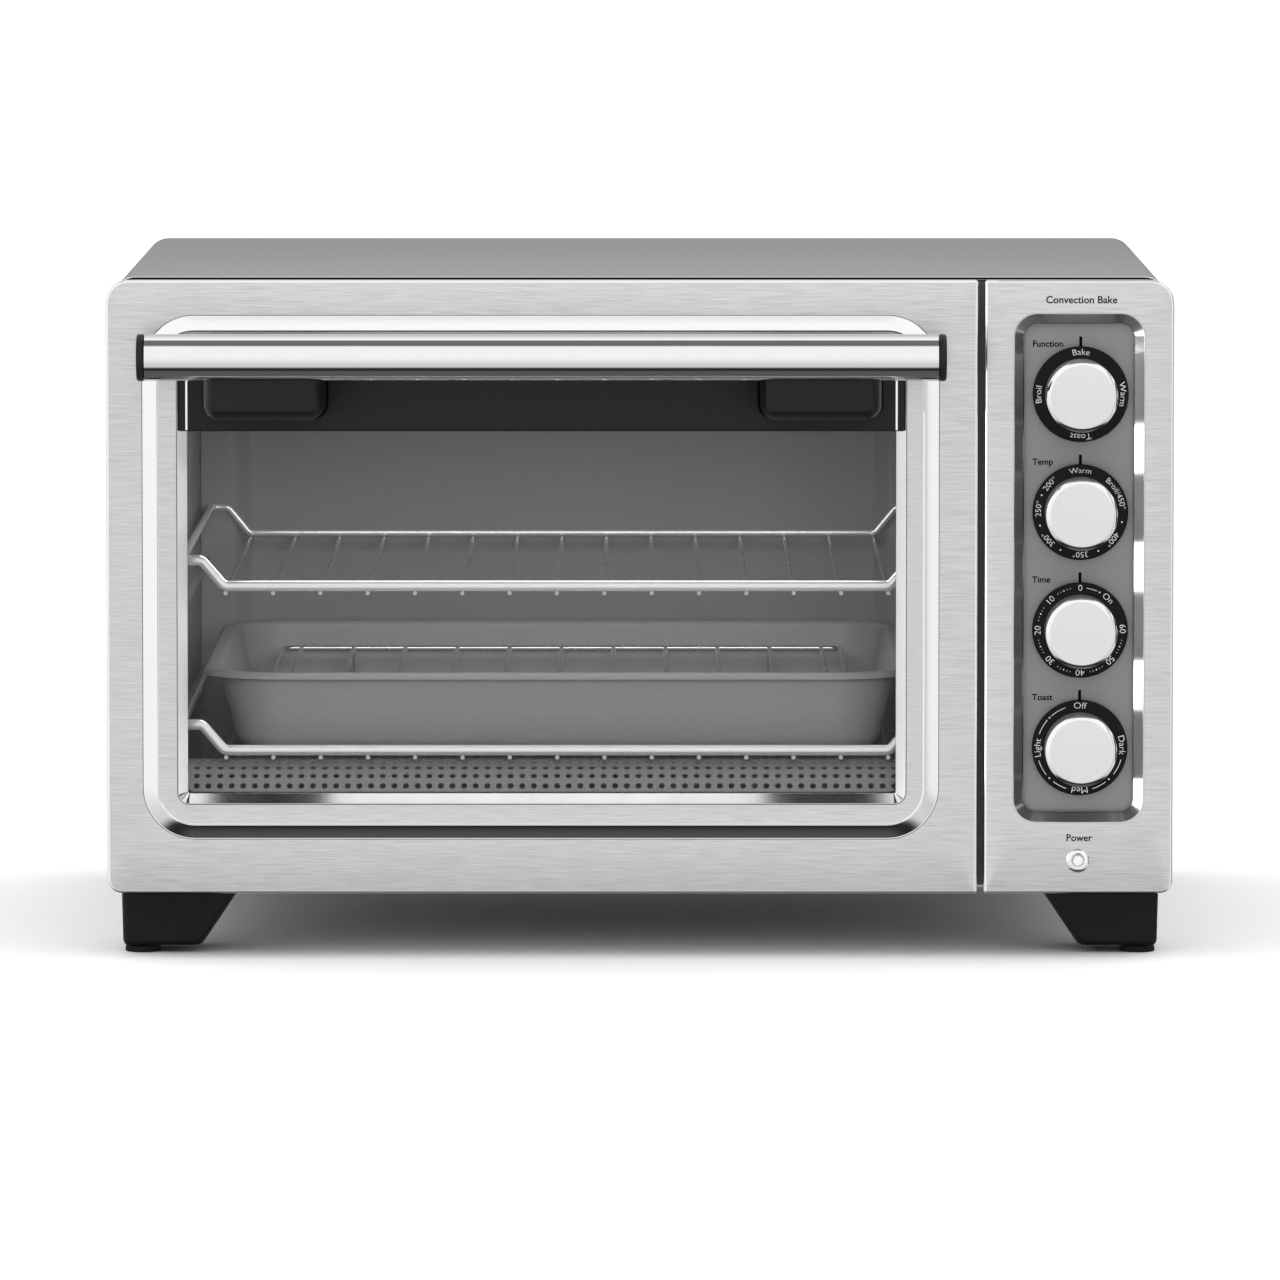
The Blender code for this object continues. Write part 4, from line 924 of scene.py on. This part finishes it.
# %% Back panel
panel_low, panel_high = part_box("rear_panel")


def extruded(outlines, low, high):
    """A flat sheet in X and Z with holes, between two Y values, made from a filled 2D curve."""
    curve = bpy.data.curves.new("sheet", "CURVE")
    curve.dimensions = "2D"
    curve.fill_mode = "BOTH"
    curve.extrude = (high - low) / 2
    for outline in outlines:
        spline = curve.splines.new("POLY")
        spline.points.add(len(outline) - 1)
        for point, (u, v) in zip(spline.points, outline):
            point.co = (u, v, 0, 1)
        spline.use_cyclic_u = True
    item = placed("sheet", curve)
    mesh = worked_out(item)
    bpy.data.objects.remove(item)
    bm = bmesh.new()
    bm.from_mesh(mesh)
    bpy.data.meshes.remove(mesh)
    bmesh.ops.remove_doubles(bm, verts=bm.verts, dist=0.000002)
    upright = Matrix(((1, 0, 0, 0), (0, 0, -1, (low + high) / 2), (0, 1, 0, 0), (0, 0, 0, 1)))
    bmesh.ops.transform(bm, matrix=upright, verts=bm.verts)
    return bm


def disc(x, z, radius, sides=32):
    turns = [2 * math.pi * i / sides for i in range(sides)]
    return [(x + radius * math.cos(turn), z + radius * math.sin(turn)) for turn in turns]


tray_low, tray_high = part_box("crumb_tray")
GLAND_X, _, GLAND_Z = middle_of("cord_gland")
back_edge = rounded(face_of("rear_panel"), (0.002, 0.002, 0.008, 0.008))
back_holes = [rounded((tray_low[0] + 0.0020, tray_high[0] - 0.0020, 0.0426, 0.0515), 0.002, 4)]
back_holes.append(disc(GLAND_X, GLAND_Z, 0.0066))
for row in range(9):
    z = 0.112 + 0.0140 * row
    back_holes.append(rounded((0.152, 0.200, z, z + 0.0032), 0.0015, 5))
for row in range(3):
    z = 0.222 + 0.0140 * row
    for x in (-0.150, -0.085, -0.020, 0.045):
        back_holes.append(rounded((x, x + 0.050, z, z + 0.0032), 0.0015, 5))
piece(
    "back_sheet", extruded([back_edge, *back_holes], panel_low[1], panel_high[1]),
    zinc_sheet, "body", "plated_steel", "rear_panel",
)
back_screws = [(x, panel_high[1], z) for x in (-0.206, 0.0, 0.206) for z in (0.037, 0.268)]
back_screws += [(x, panel_high[1], 0.150) for x in (-0.206, 0.206)]
piece("back_screws", screw_heads(back_screws, "Y", 0.0036), [zinc_sheet, slot_dark], "body", "plated_steel")

gland_outline = [
    (0.0036, 0.0030), (0.0062, 0.0030), (0.0090, 0.0020), (0.0090, 0.0), (0.0062, 0.0), (0.0062, -0.0100),
    (0.0036, -0.0100),
]
gland_profile = [(r, h, 0) for r, h in eased(gland_outline, 0.0006, 3)]
gland = spun(gland_profile, (GLAND_X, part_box("cord_gland")[1][1] - 0.0030, GLAND_Z), "Y", 40)
piece("gland_fine", gland, rubber, "body", "rubber", "cord_gland")
finish_node("base_plate", base_paint)
finish_node("front_frame", frame_paint)

# %% [markdown]
# Feet are moulded in black plastic: a block whose inner side leans in towards the ground, with
# softened edges, standing on a rubber pad. The bevel is what catches the light along their edges.

# %% Feet
for end in ("front", "rear"):
    for side in ("left", "right"):
        foot_node, pad = f"{end}_{side}_foot", f"{end}_{side}_pad"
        foot_low, foot_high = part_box(foot_node)
        sign = -1 if side == "left" else 1
        xs = (0.1640, 0.1800, 0.2120, 0.2126)
        zs = (foot_high[2], foot_low[2], foot_low[2], foot_high[2])
        outline = [(sign * x, z) for x, z in zip(xs, zs)]
        bm = skin([([(x, y, z) for x, z in outline], 0) for y in (foot_low[1], foot_high[1])])
        foot = piece(f"{foot_node}_fine", bm, foot_plastic, "body", "foot_plastic", foot_node)
        edges = foot.modifiers.new("edges", "BEVEL")
        edges.width = 0.0026
        edges.segments = 4
        edges.limit_method = "ANGLE"
        pad_low, pad_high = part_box(pad)
        pad_middle = middle_of(pad)
        pad_radius = (pad_high[0] - pad_low[0]) / 2
        thick = pad_high[2] - pad_low[2]
        rim = eased([(pad_radius - 0.0004, thick), (pad_radius, 0.0), (0.0, 0.0)], 0.0008, 4)
        profile = [(0.0, thick, 0), *[(r, h, 0) for r, h in rim]]
        pad_disc = spun(profile, (*pad_middle[:2], pad_low[2]), "Z", 40)
        piece(f"{pad}_fine", pad_disc, rubber, "body", "rubber", pad)

# %% [markdown]
# The cavity is grey enamel. Its side walls are flat sheets with folded ledges, which the frame
# already has, so they keep their shape and only gain the enamel. The back is drawn deeper to give
# the pan room: one pressing with a soft shoulder, which needs more steps than the plain solid has.

# %% Cavity
for name in ("cavity_left_wall", "cavity_right_wall", "cavity_top", "cavity_floor"):
    finish_node(name, cavity_enamel)
flange = face_of("cavity_back")
back_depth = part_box("cavity_back")[0][1] - FRONT
bulge_profile = eased([(0.0, 0.0), (0.0145, 0.0), (0.0220, 0.0080), (0.0320, 0.0080)], 0.0020, 5)


def bulge_sections(shift):
    rows = []
    for inset, depth in bulge_profile:
        outline = rounded(grown(flange, -inset), max(0.002, 0.026 - inset), 10)
        rows.append((at_depth(outline, back_depth + depth + shift), 0))
    return rows


piece(
    "cavity_back_pressing", skin(bulge_sections(0.0)[::-1] + bulge_sections(SHEET)),
    cavity_enamel, "body", "cavity_steel", "cavity_back",
)

# %% [markdown]
# Perforated sheet is a grid of little square cells, each with a round hole. Making one cell and
# repeating it is simple; the trick is to lay the cells along the sheet's own path, so that the grid
# rolls over the quarter round without stretching. Each flat point (u, v) is then mapped to space.

# %% Perforated sheets
def perforated(columns, rows, pitch, hole, thick, place, hole_sides=8):
    """A sheet of cells on a grid. place turns (u, v, depth into the sheet) into a point in space."""
    bm = bmesh.new()
    made = {}

    def vert(u, v, layer):
        key = (round(u, 7), round(v, 7), layer)
        if key not in made:
            made[key] = bm.verts.new(place(u, v, layer * thick))
        return made[key]

    for column in range(columns):
        for row in range(rows):
            mu, mv = (column + 0.5) * pitch, (row + 0.5) * pitch
            rim, edge = [], []
            for i in range(hole_sides):
                angle = 2 * math.pi * i / hole_sides
                c, s = math.cos(angle), math.sin(angle)
                rim.append((mu + hole * c, mv + hole * s))
                reach = pitch / 2 / max(abs(c), abs(s))
                edge.append((mu + reach * c, mv + reach * s))
            for i in range(hole_sides):
                j = (i + 1) % hole_sides
                for layer in (0, 1):
                    bm.faces.new([vert(*p, layer) for p in (rim[i], edge[i], edge[j], rim[j])])
                bm.faces.new([vert(*rim[i], 0), vert(*rim[j], 0), vert(*rim[j], 1), vert(*rim[i], 1)])
    rims = [edge for edge in bm.edges if edge.is_boundary]
    bmesh.ops.bridge_loops(bm, edges=rims)
    return bm


guard_low, guard_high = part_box("element_guard")
GUARD_PITCH = 0.00477
GUARD_HOLE = 0.0013
guard_columns = int((guard_high[0] - guard_low[0]) / GUARD_PITCH)
guard_radius = 0.0178
spring_z = guard_high[2] - guard_radius
margin = (guard_high[0] - guard_low[0] - guard_columns * GUARD_PITCH) / 2


def on_guard(u, v, deep):
    """v runs up the short foot, then round the quarter circle, then straight back."""
    foot = 0.0034
    x = guard_low[0] + margin + u
    if v < foot:
        return (x, guard_low[1] + deep, guard_low[2] + v)
    turn = (v - foot) / guard_radius
    if turn < math.pi / 2:
        reach = guard_radius - deep
        return (x, guard_low[1] + guard_radius - reach * math.cos(turn), spring_z + reach * math.sin(turn))
    return (x, guard_low[1] + guard_radius + (turn - math.pi / 2) * guard_radius, guard_high[2] - deep)


guard_rows = 7
piece(
    "guard_perforated", perforated(guard_columns, guard_rows, GUARD_PITCH, GUARD_HOLE, 0.0006, on_guard),
    guard_enamel, "body", "guard_steel", "element_guard",
)
print("guard holes:", guard_columns * guard_rows)

# %% Heaters, fan and switches
for name in ("upper_element", "lower_element"):
    finish_node(name, heater_sheath)
for name in ("function_switch", "thermostat", "timer", "toast_timer"):
    finish_node(name, switch_plastic)
for name in ("fan_motor", "fan_impeller", "hinge_pin_left", "hinge_pin_right", "crumb_tray"):
    finish_node(name, zinc_sheet)

fan_low, fan_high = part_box("fan_cover")
_, fan_y, fan_z = middle_of("fan_cover")
FAN_HOLE, FAN_HOLE_PITCH = 0.0017, 0.006
fan_outlines = [disc(fan_y, fan_z, (fan_high[2] - fan_low[2]) / 2, 64)]
for ring in range(1, 6):
    fan_outlines += [disc(y, z, FAN_HOLE, 8) for y, z in disc(fan_y, fan_z, FAN_HOLE_PITCH * ring, 6 * ring)]
grille = extruded(fan_outlines, fan_low[0], fan_high[0])
sideways = Matrix(((0, 1, 0, 0), (1, 0, 0, 0), (0, 0, 1, 0), (0, 0, 0, 1)))
bmesh.ops.transform(grille, matrix=sideways, verts=grille.verts)
piece("fan_grille", grille, cavity_enamel, "body", "cavity_steel", "fan_cover")

# %% [markdown]
# Racks are bent from chromed wire and spot-welded. A bevelled curve is the natural tool: the path
# is a list of corners, each eased to the bend of a forming roller, and the wire is the curve's round
# bevel. The thin wires lie under the thick ones, pressed slightly in by the weld.

# %% Wire tools
def bent(points, radius, steps=6, closed=False):
    """Rounds the corners of a path with arcs of one bend radius."""
    path = [Vector(point) for point in points]
    out = []
    for i, corner in enumerate(path):
        if not closed and i in (0, len(path) - 1):
            out.append(corner)
            continue
        before = (path[i - 1] - corner).normalized()
        after = (path[(i + 1) % len(path)] - corner).normalized()
        half = before.angle(after) / 2
        centre = corner + (before + after).normalized() * (radius / math.sin(half))
        first = corner + before * (radius / math.tan(half)) - centre
        last = corner + after * (radius / math.tan(half)) - centre
        sweep = first.angle(last)
        for k in range(steps + 1):
            a = math.sin((1 - k / steps) * sweep) / math.sin(sweep)
            b = math.sin(k / steps * sweep) / math.sin(sweep)
            out.append(centre + first * a + last * b)
    return out


def wire_piece(name, paths, radius, body, *stands_for, finish=chrome_wire):
    """One piece of several open or closed wires: paths is a list of (points, closed)."""
    curve = bpy.data.curves.new(name, "CURVE")
    curve.dimensions = "3D"
    curve.bevel_depth = radius
    curve.bevel_resolution = 4
    curve.use_fill_caps = True
    for points, closed in paths:
        spline = curve.splines.new("POLY")
        spline.points.add(len(points) - 1)
        for point, place in zip(spline.points, points):
            point.co = (*place, 1)
        spline.use_cyclic_u = closed
        spline.use_smooth = True
    curve.materials.append(finish)
    return mount(placed(name, curve), body, "chrome_wire", *stands_for)


# %% Racks
CAVITY_MIDDLE = (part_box("cavity_left_wall")[0][0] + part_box("cavity_right_wall")[1][0]) / 2
RAIL_OFFSET, BEND_OFFSET, RAIL_RISE = 0.1535, 0.1365, 0.0105
SHOULDER = 0.0078
BAR_RADIUS, RAIL_RADIUS, WIRE_RADIUS = 0.00225, 0.0015, 0.0009
WIRE_DROP, WIRE_PITCH, WIRE_COUNT = 0.0029, 0.0194, 15


def mirrored(half):
    """The left half of a wire, given as offsets from the middle, and the same points on the right."""
    left = [(CAVITY_MIDDLE - offset, y, z) for offset, y, z in half]
    right = [(CAVITY_MIDDLE + offset, y, z) for offset, y, z in reversed(half)]
    return left + right


def rack(name):
    low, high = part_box(name)
    front, back = behind(0.0270), behind(0.3330)
    wire_z = low[2] + WIRE_RADIUS
    bar_z = wire_z + WIRE_DROP
    rail_z = bar_z + RAIL_RISE
    back_z = wire_z + WIRE_RADIUS + RAIL_RADIUS - 0.0002
    bar = mirrored([
        (RAIL_OFFSET, front + 0.0140, rail_z), (RAIL_OFFSET, front, rail_z),
        (RAIL_OFFSET - SHOULDER, front, rail_z), (BEND_OFFSET, front, bar_z),
    ])
    loop = mirrored([
        (RAIL_OFFSET, front + 0.0120, rail_z), (RAIL_OFFSET, back, rail_z),
        (RAIL_OFFSET - SHOULDER, back, rail_z), (BEND_OFFSET, back, back_z),
    ])
    wire_piece(f"{name}_bar", [(bent(bar, 0.0034), False)], BAR_RADIUS, name, name)
    wire_piece(f"{name}_rails", [(bent(loop, 0.0034), False)], RAIL_RADIUS, name)
    rows = []
    for i in range(WIRE_COUNT):
        x = CAVITY_MIDDLE + (i - (WIRE_COUNT - 1) / 2) * WIRE_PITCH
        rows.append(([(x, front - 0.0012, wire_z), (x, back + 0.0008, wire_z)], False))
    wire_piece(f"{name}_wires", rows, WIRE_RADIUS, name, finish=thin_wire)


for name in ("upper_rack", "lower_rack"):
    rack(name)

# %% Wire grid in the pan
BROIL_Z = 0.1025
PAN_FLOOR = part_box("baking_pan")[0][2] + 0.0009
grid_left, grid_right = CAVITY_MIDDLE - 0.1210, CAVITY_MIDDLE + 0.1210
grid_front, grid_back = behind(0.0500), behind(0.2900)
frame_corners = (
    (grid_left, grid_front), (grid_left, grid_back), (grid_right, grid_back), (grid_right, grid_front),
)
frame_loop = bent([(x, y, BROIL_Z) for x, y in frame_corners], 0.0060, 8, True)
wire_piece("grid_frame", [(frame_loop, True)], 0.0013, "broil_rack", "broil_rack", finish=thin_wire)
grid_rows = []
for i in range(11):
    x = CAVITY_MIDDLE + (i - 5) * 0.0225
    ends = (grid_front - 0.0004, grid_back + 0.0004)
    grid_rows.append(([(x, y, BROIL_Z + 0.0004) for y in ends], False))
wire_piece("grid_wires", grid_rows, 0.0009, "broil_rack", finish=thin_wire)
legs = []
foot_z = PAN_FLOOR + 0.0003 + 0.0012
for x in (CAVITY_MIDDLE - 0.0900, CAVITY_MIDDLE + 0.0900):
    for y in (behind(0.0750), behind(0.2450)):
        path = ((x, y, BROIL_Z), (x, y, foot_z), (x, y + 0.0200, foot_z), (x, y + 0.0200, BROIL_Z))
        legs.append((bent(path, 0.0040, 4), False))
wire_piece("grid_legs", legs, 0.0012, "broil_rack", finish=thin_wire)
print("rack wires:", 2 * WIRE_COUNT, "grid wires:", len(grid_rows))

# %% [markdown]
# The pan is drawn from one sheet: a flat floor, a rounded foot, walls that lean out, and a rim that
# turns flat and is rolled under. Its section is eased and swept round rounded rectangles, this time
# with Z as the third direction.

# %% Baking pan
pan_low, pan_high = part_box("baking_pan")
pan_bounds = (pan_low[0], pan_high[0], pan_low[1], pan_high[1])
PAN_CORNER = 0.0350
PAN_WALL = 0.0009


def pan_levels(profile):
    levels = []
    for inset, z in profile:
        outline = rounded(grown(pan_bounds, -inset), PAN_CORNER - inset, 14)
        levels.append(([(x, y, z) for x, y in outline], 0))
    return levels


rim_z = pan_high[2]
outer_profile = eased(
    [(0.0300, pan_low[2]), (0.0150, pan_low[2]), (0.0068, rim_z - PAN_WALL), (0.0008, rim_z - PAN_WALL),
     (0.0, rim_z - 0.0026)], 0.0085, 7)
inner_profile = eased(
    [(0.0008, rim_z - 0.0026), (0.0014, rim_z - 0.0002), (0.0078, rim_z), (0.0158, pan_low[2] + PAN_WALL),
     (0.0300, pan_low[2] + PAN_WALL)], 0.0085, 7)
pan_sheet = skin(pan_levels(outer_profile + inner_profile))
piece("pan_drawn", pan_sheet, pan_enamel, "pan", "pan_enamel", "baking_pan", angle=50)

# %% [markdown]
# The stage is plain: a white floor under soft light. Polished metal shows its surroundings more than
# itself, so a studio shapes those: white cards give bright slopes and dark flags give the lines
# that make a tube look round. The cards here are seen only in reflections.

# %% Floor, world and camera
def staged_plane(name, size_x, size_y, place, finish):
    bm = bmesh.new()
    bmesh.ops.create_grid(bm, x_segments=1, y_segments=1, size=0.5)
    bmesh.ops.scale(bm, vec=(size_x, size_y, 1), verts=bm.verts)
    item = placed(name, as_mesh(bm, name))
    item.data.materials.append(finish)
    item.location = place
    return item


floor_finish = new_finish("floor_white", grey(0.93), 0.9, 0.0)
floor = staged_plane("floor", 30.0, 30.0, (0, 0, 0), floor_finish)
floor.visible_glossy = False

# %% [markdown]
# The room around the oven is drawn by direction. Diffuse light comes evenly from all of it. What
# polished steel mirrors is shaped: a white room over a dark floor, a dark flag almost overhead in
# front, a grey ceiling behind it, a grey wall to the right and a dark flag beyond that.

# %% The room
world = bpy.data.worlds.new("studio")
bpy.context.scene.world = world
world.use_nodes = True
room_tree = world.node_tree
backdrop = room_tree.nodes["Background"]
backdrop.inputs["Strength"].default_value = 1.0
direction = wired(room_tree, "ShaderNodeTexCoord", {}).outputs["Generated"]
parts = wired(room_tree, "ShaderNodeSeparateXYZ", {"Vector": direction})


def span(source, start, end, low=0.0, high=1.0):
    """A smooth step of one direction component."""
    inputs = {"Value": source, "From Min": start, "From Max": end, "To Min": low, "To Max": high}
    return wired(room_tree, "ShaderNodeMapRange", inputs, interpolation_type="SMOOTHSTEP").outputs["Result"]


def blend(mask, under, over):
    """under where the mask is 0, over where it is 1."""
    return wired(room_tree, "ShaderNodeMix", {"Factor": mask, "A": under, "B": over}).outputs["Result"]


def both(first, second):
    return blend(first, 0.0, second)


across, depthward, upward = parts.outputs["X"], parts.outputs["Y"], parts.outputs["Z"]
low_floor = span(upward, -0.66, -0.80)
high_up = span(upward, 0.84, 0.92)
forward = span(depthward, 0.15, 0.09)
right_dim = both(span(across, 0.66, 0.76), span(across, 0.89, 0.80))
right_flag = both(span(across, 0.90, 0.94), span(across, 0.995, 0.985))
right_flag = both(right_flag, span(upward, 0.62, 0.50))
seen = span(upward, -0.70, 0.10, 0.68, 1.03)
seen = blend(span(depthward, 0.30, 0.90), seen, 0.55)
seen = blend(high_up, seen, 0.66)
seen = blend(both(high_up, forward), seen, 0.16)
seen = blend(right_dim, seen, 0.64)
seen = blend(low_floor, seen, blend(span(upward, -0.86, -0.95), 0.02, 0.10))
seen = blend(right_flag, seen, 0.08)
around = blend(span(upward, 0.05, 0.36), 0.22, span(upward, 0.2, 0.9, 1.08, 1.5))
ray = wired(room_tree, "ShaderNodeLightPath", {})
room = blend(ray.outputs["Is Glossy Ray"], around, seen)
room = blend(ray.outputs["Is Camera Ray"], room, 1.0)
room_tree.links.new(room, backdrop.inputs["Color"])

# %% Camera
camera_data = bpy.data.cameras.new("camera")
camera = placed("camera", camera_data)
bpy.context.scene.camera = camera
camera_data.sensor_width = 36.0
camera_data.lens = 319.2
camera_data.clip_end = 60.0
CAMERA_DISTANCE, CAMERA_HEIGHT, CAMERA_PITCH = 4.611, 0.513, 4.745
camera.location = (0.0, FRONT - CAMERA_DISTANCE, CAMERA_HEIGHT)
camera.rotation_euler = (math.radians(90 - CAMERA_PITCH), 0, 0)
bpy.context.scene.view_settings.view_transform = "Standard"

# %% [markdown]
# Small lights finish the studio. A strip over the front edge makes the top of the cover fade towards
# the back. One light inside and one in front of the window show the cavity. Two more are tied to a
# single piece each: from above to the door, whose lower bevel turns white between the soft dark
# smears of the posts, and from the left to the panel, whose right slope turns white. A card above
# the handle is seen only in polished steel, and draws the light band on the tube.

# %% Lights
def soft_light(name, size_x, size_y, place, aim, watts):
    data = bpy.data.lights.new(name, "AREA")
    data.shape = "RECTANGLE"
    data.size = size_x
    data.size_y = size_y
    data.energy = watts
    item = placed(name, data)
    item.location = place
    item.rotation_euler = (Vector(aim) - Vector(place)).to_track_quat("-Z", "Y").to_euler()
    item.visible_camera = False
    return item


def light_only(light, items):
    """Ties a light to some objects, so that it falls on nothing else."""
    chosen = bpy.data.collections.new(f"{light.name}_falls_on")
    for item in items:
        chosen.objects.link(item)
    light.light_linking.receiver_collection = chosen


strip_light = soft_light("strip_light", 0.7, 0.06, (0.0, FRONT - 0.01, 0.55), (0, FRONT + 0.02, 0.27), 0.72)
strip_light.visible_glossy = False
inside_place = (CAVITY_MIDDLE, behind(0.12), 0.257)
soft_light("inside_light", 0.26, 0.16, inside_place, (CAVITY_MIDDLE, behind(0.13), 0.0), 0.45)

window_place = (CAVITY_MIDDLE + 0.07, -1.3, 0.34)
window_light = soft_light("window_light", 0.5, 0.3, window_place, (CAVITY_MIDDLE, 0.05, 0.13), 16.0)
window_light.visible_glossy = False
inner_words = ("cavity", "pan_", "grid", "rack", "guard", "fan_grille", "element", "crumb")
solids = [item for item in bpy.context.scene.objects if item.type in ("MESH", "CURVE")]
light_only(window_light, [item for item in solids if any(word in item.name for word in inner_words)])

bevel_place = (CAVITY_MIDDLE, FRONT - 0.03, 0.50)
bevel_light = soft_light("bevel_light", 0.5, 0.10, bevel_place, (CAVITY_MIDDLE, FRONT, 0.06), 0.19)
light_only(bevel_light, [door_sheet])

recess_light = soft_light("recess_light", 0.5, 0.5, (-0.45, FRONT - 0.20, 0.16), (0.2, FRONT, 0.16), 3.0)
light_only(recess_light, [fascia])
recess_blockers = bpy.data.collections.new("recess_blockers")
recess_blockers.objects.link(floor)
recess_light.light_linking.blocker_collection = recess_blockers

white_card = bpy.data.materials.new("white_card")
white_card.use_nodes = True
card_tree = white_card.node_tree
card_tree.nodes.remove(card_tree.nodes["Principled BSDF"])
glow = wired(card_tree, "ShaderNodeEmission", {"Color": (1.05, 1.05, 1.05, 1)})
card_tree.links.new(glow.outputs["Emission"], card_tree.nodes["Material Output"].inputs["Surface"])
handle_card = staged_plane("handle_card", 0.36, 0.026, (CAVITY_MIDDLE, FRONT - 0.0160, 0.330), white_card)
handle_card.visible_camera = False
handle_card.visible_diffuse = False
handle_card.visible_shadow = False
handle_card.visible_transmission = False

# %% Count the pieces
print("pieces:", len(made_pieces))
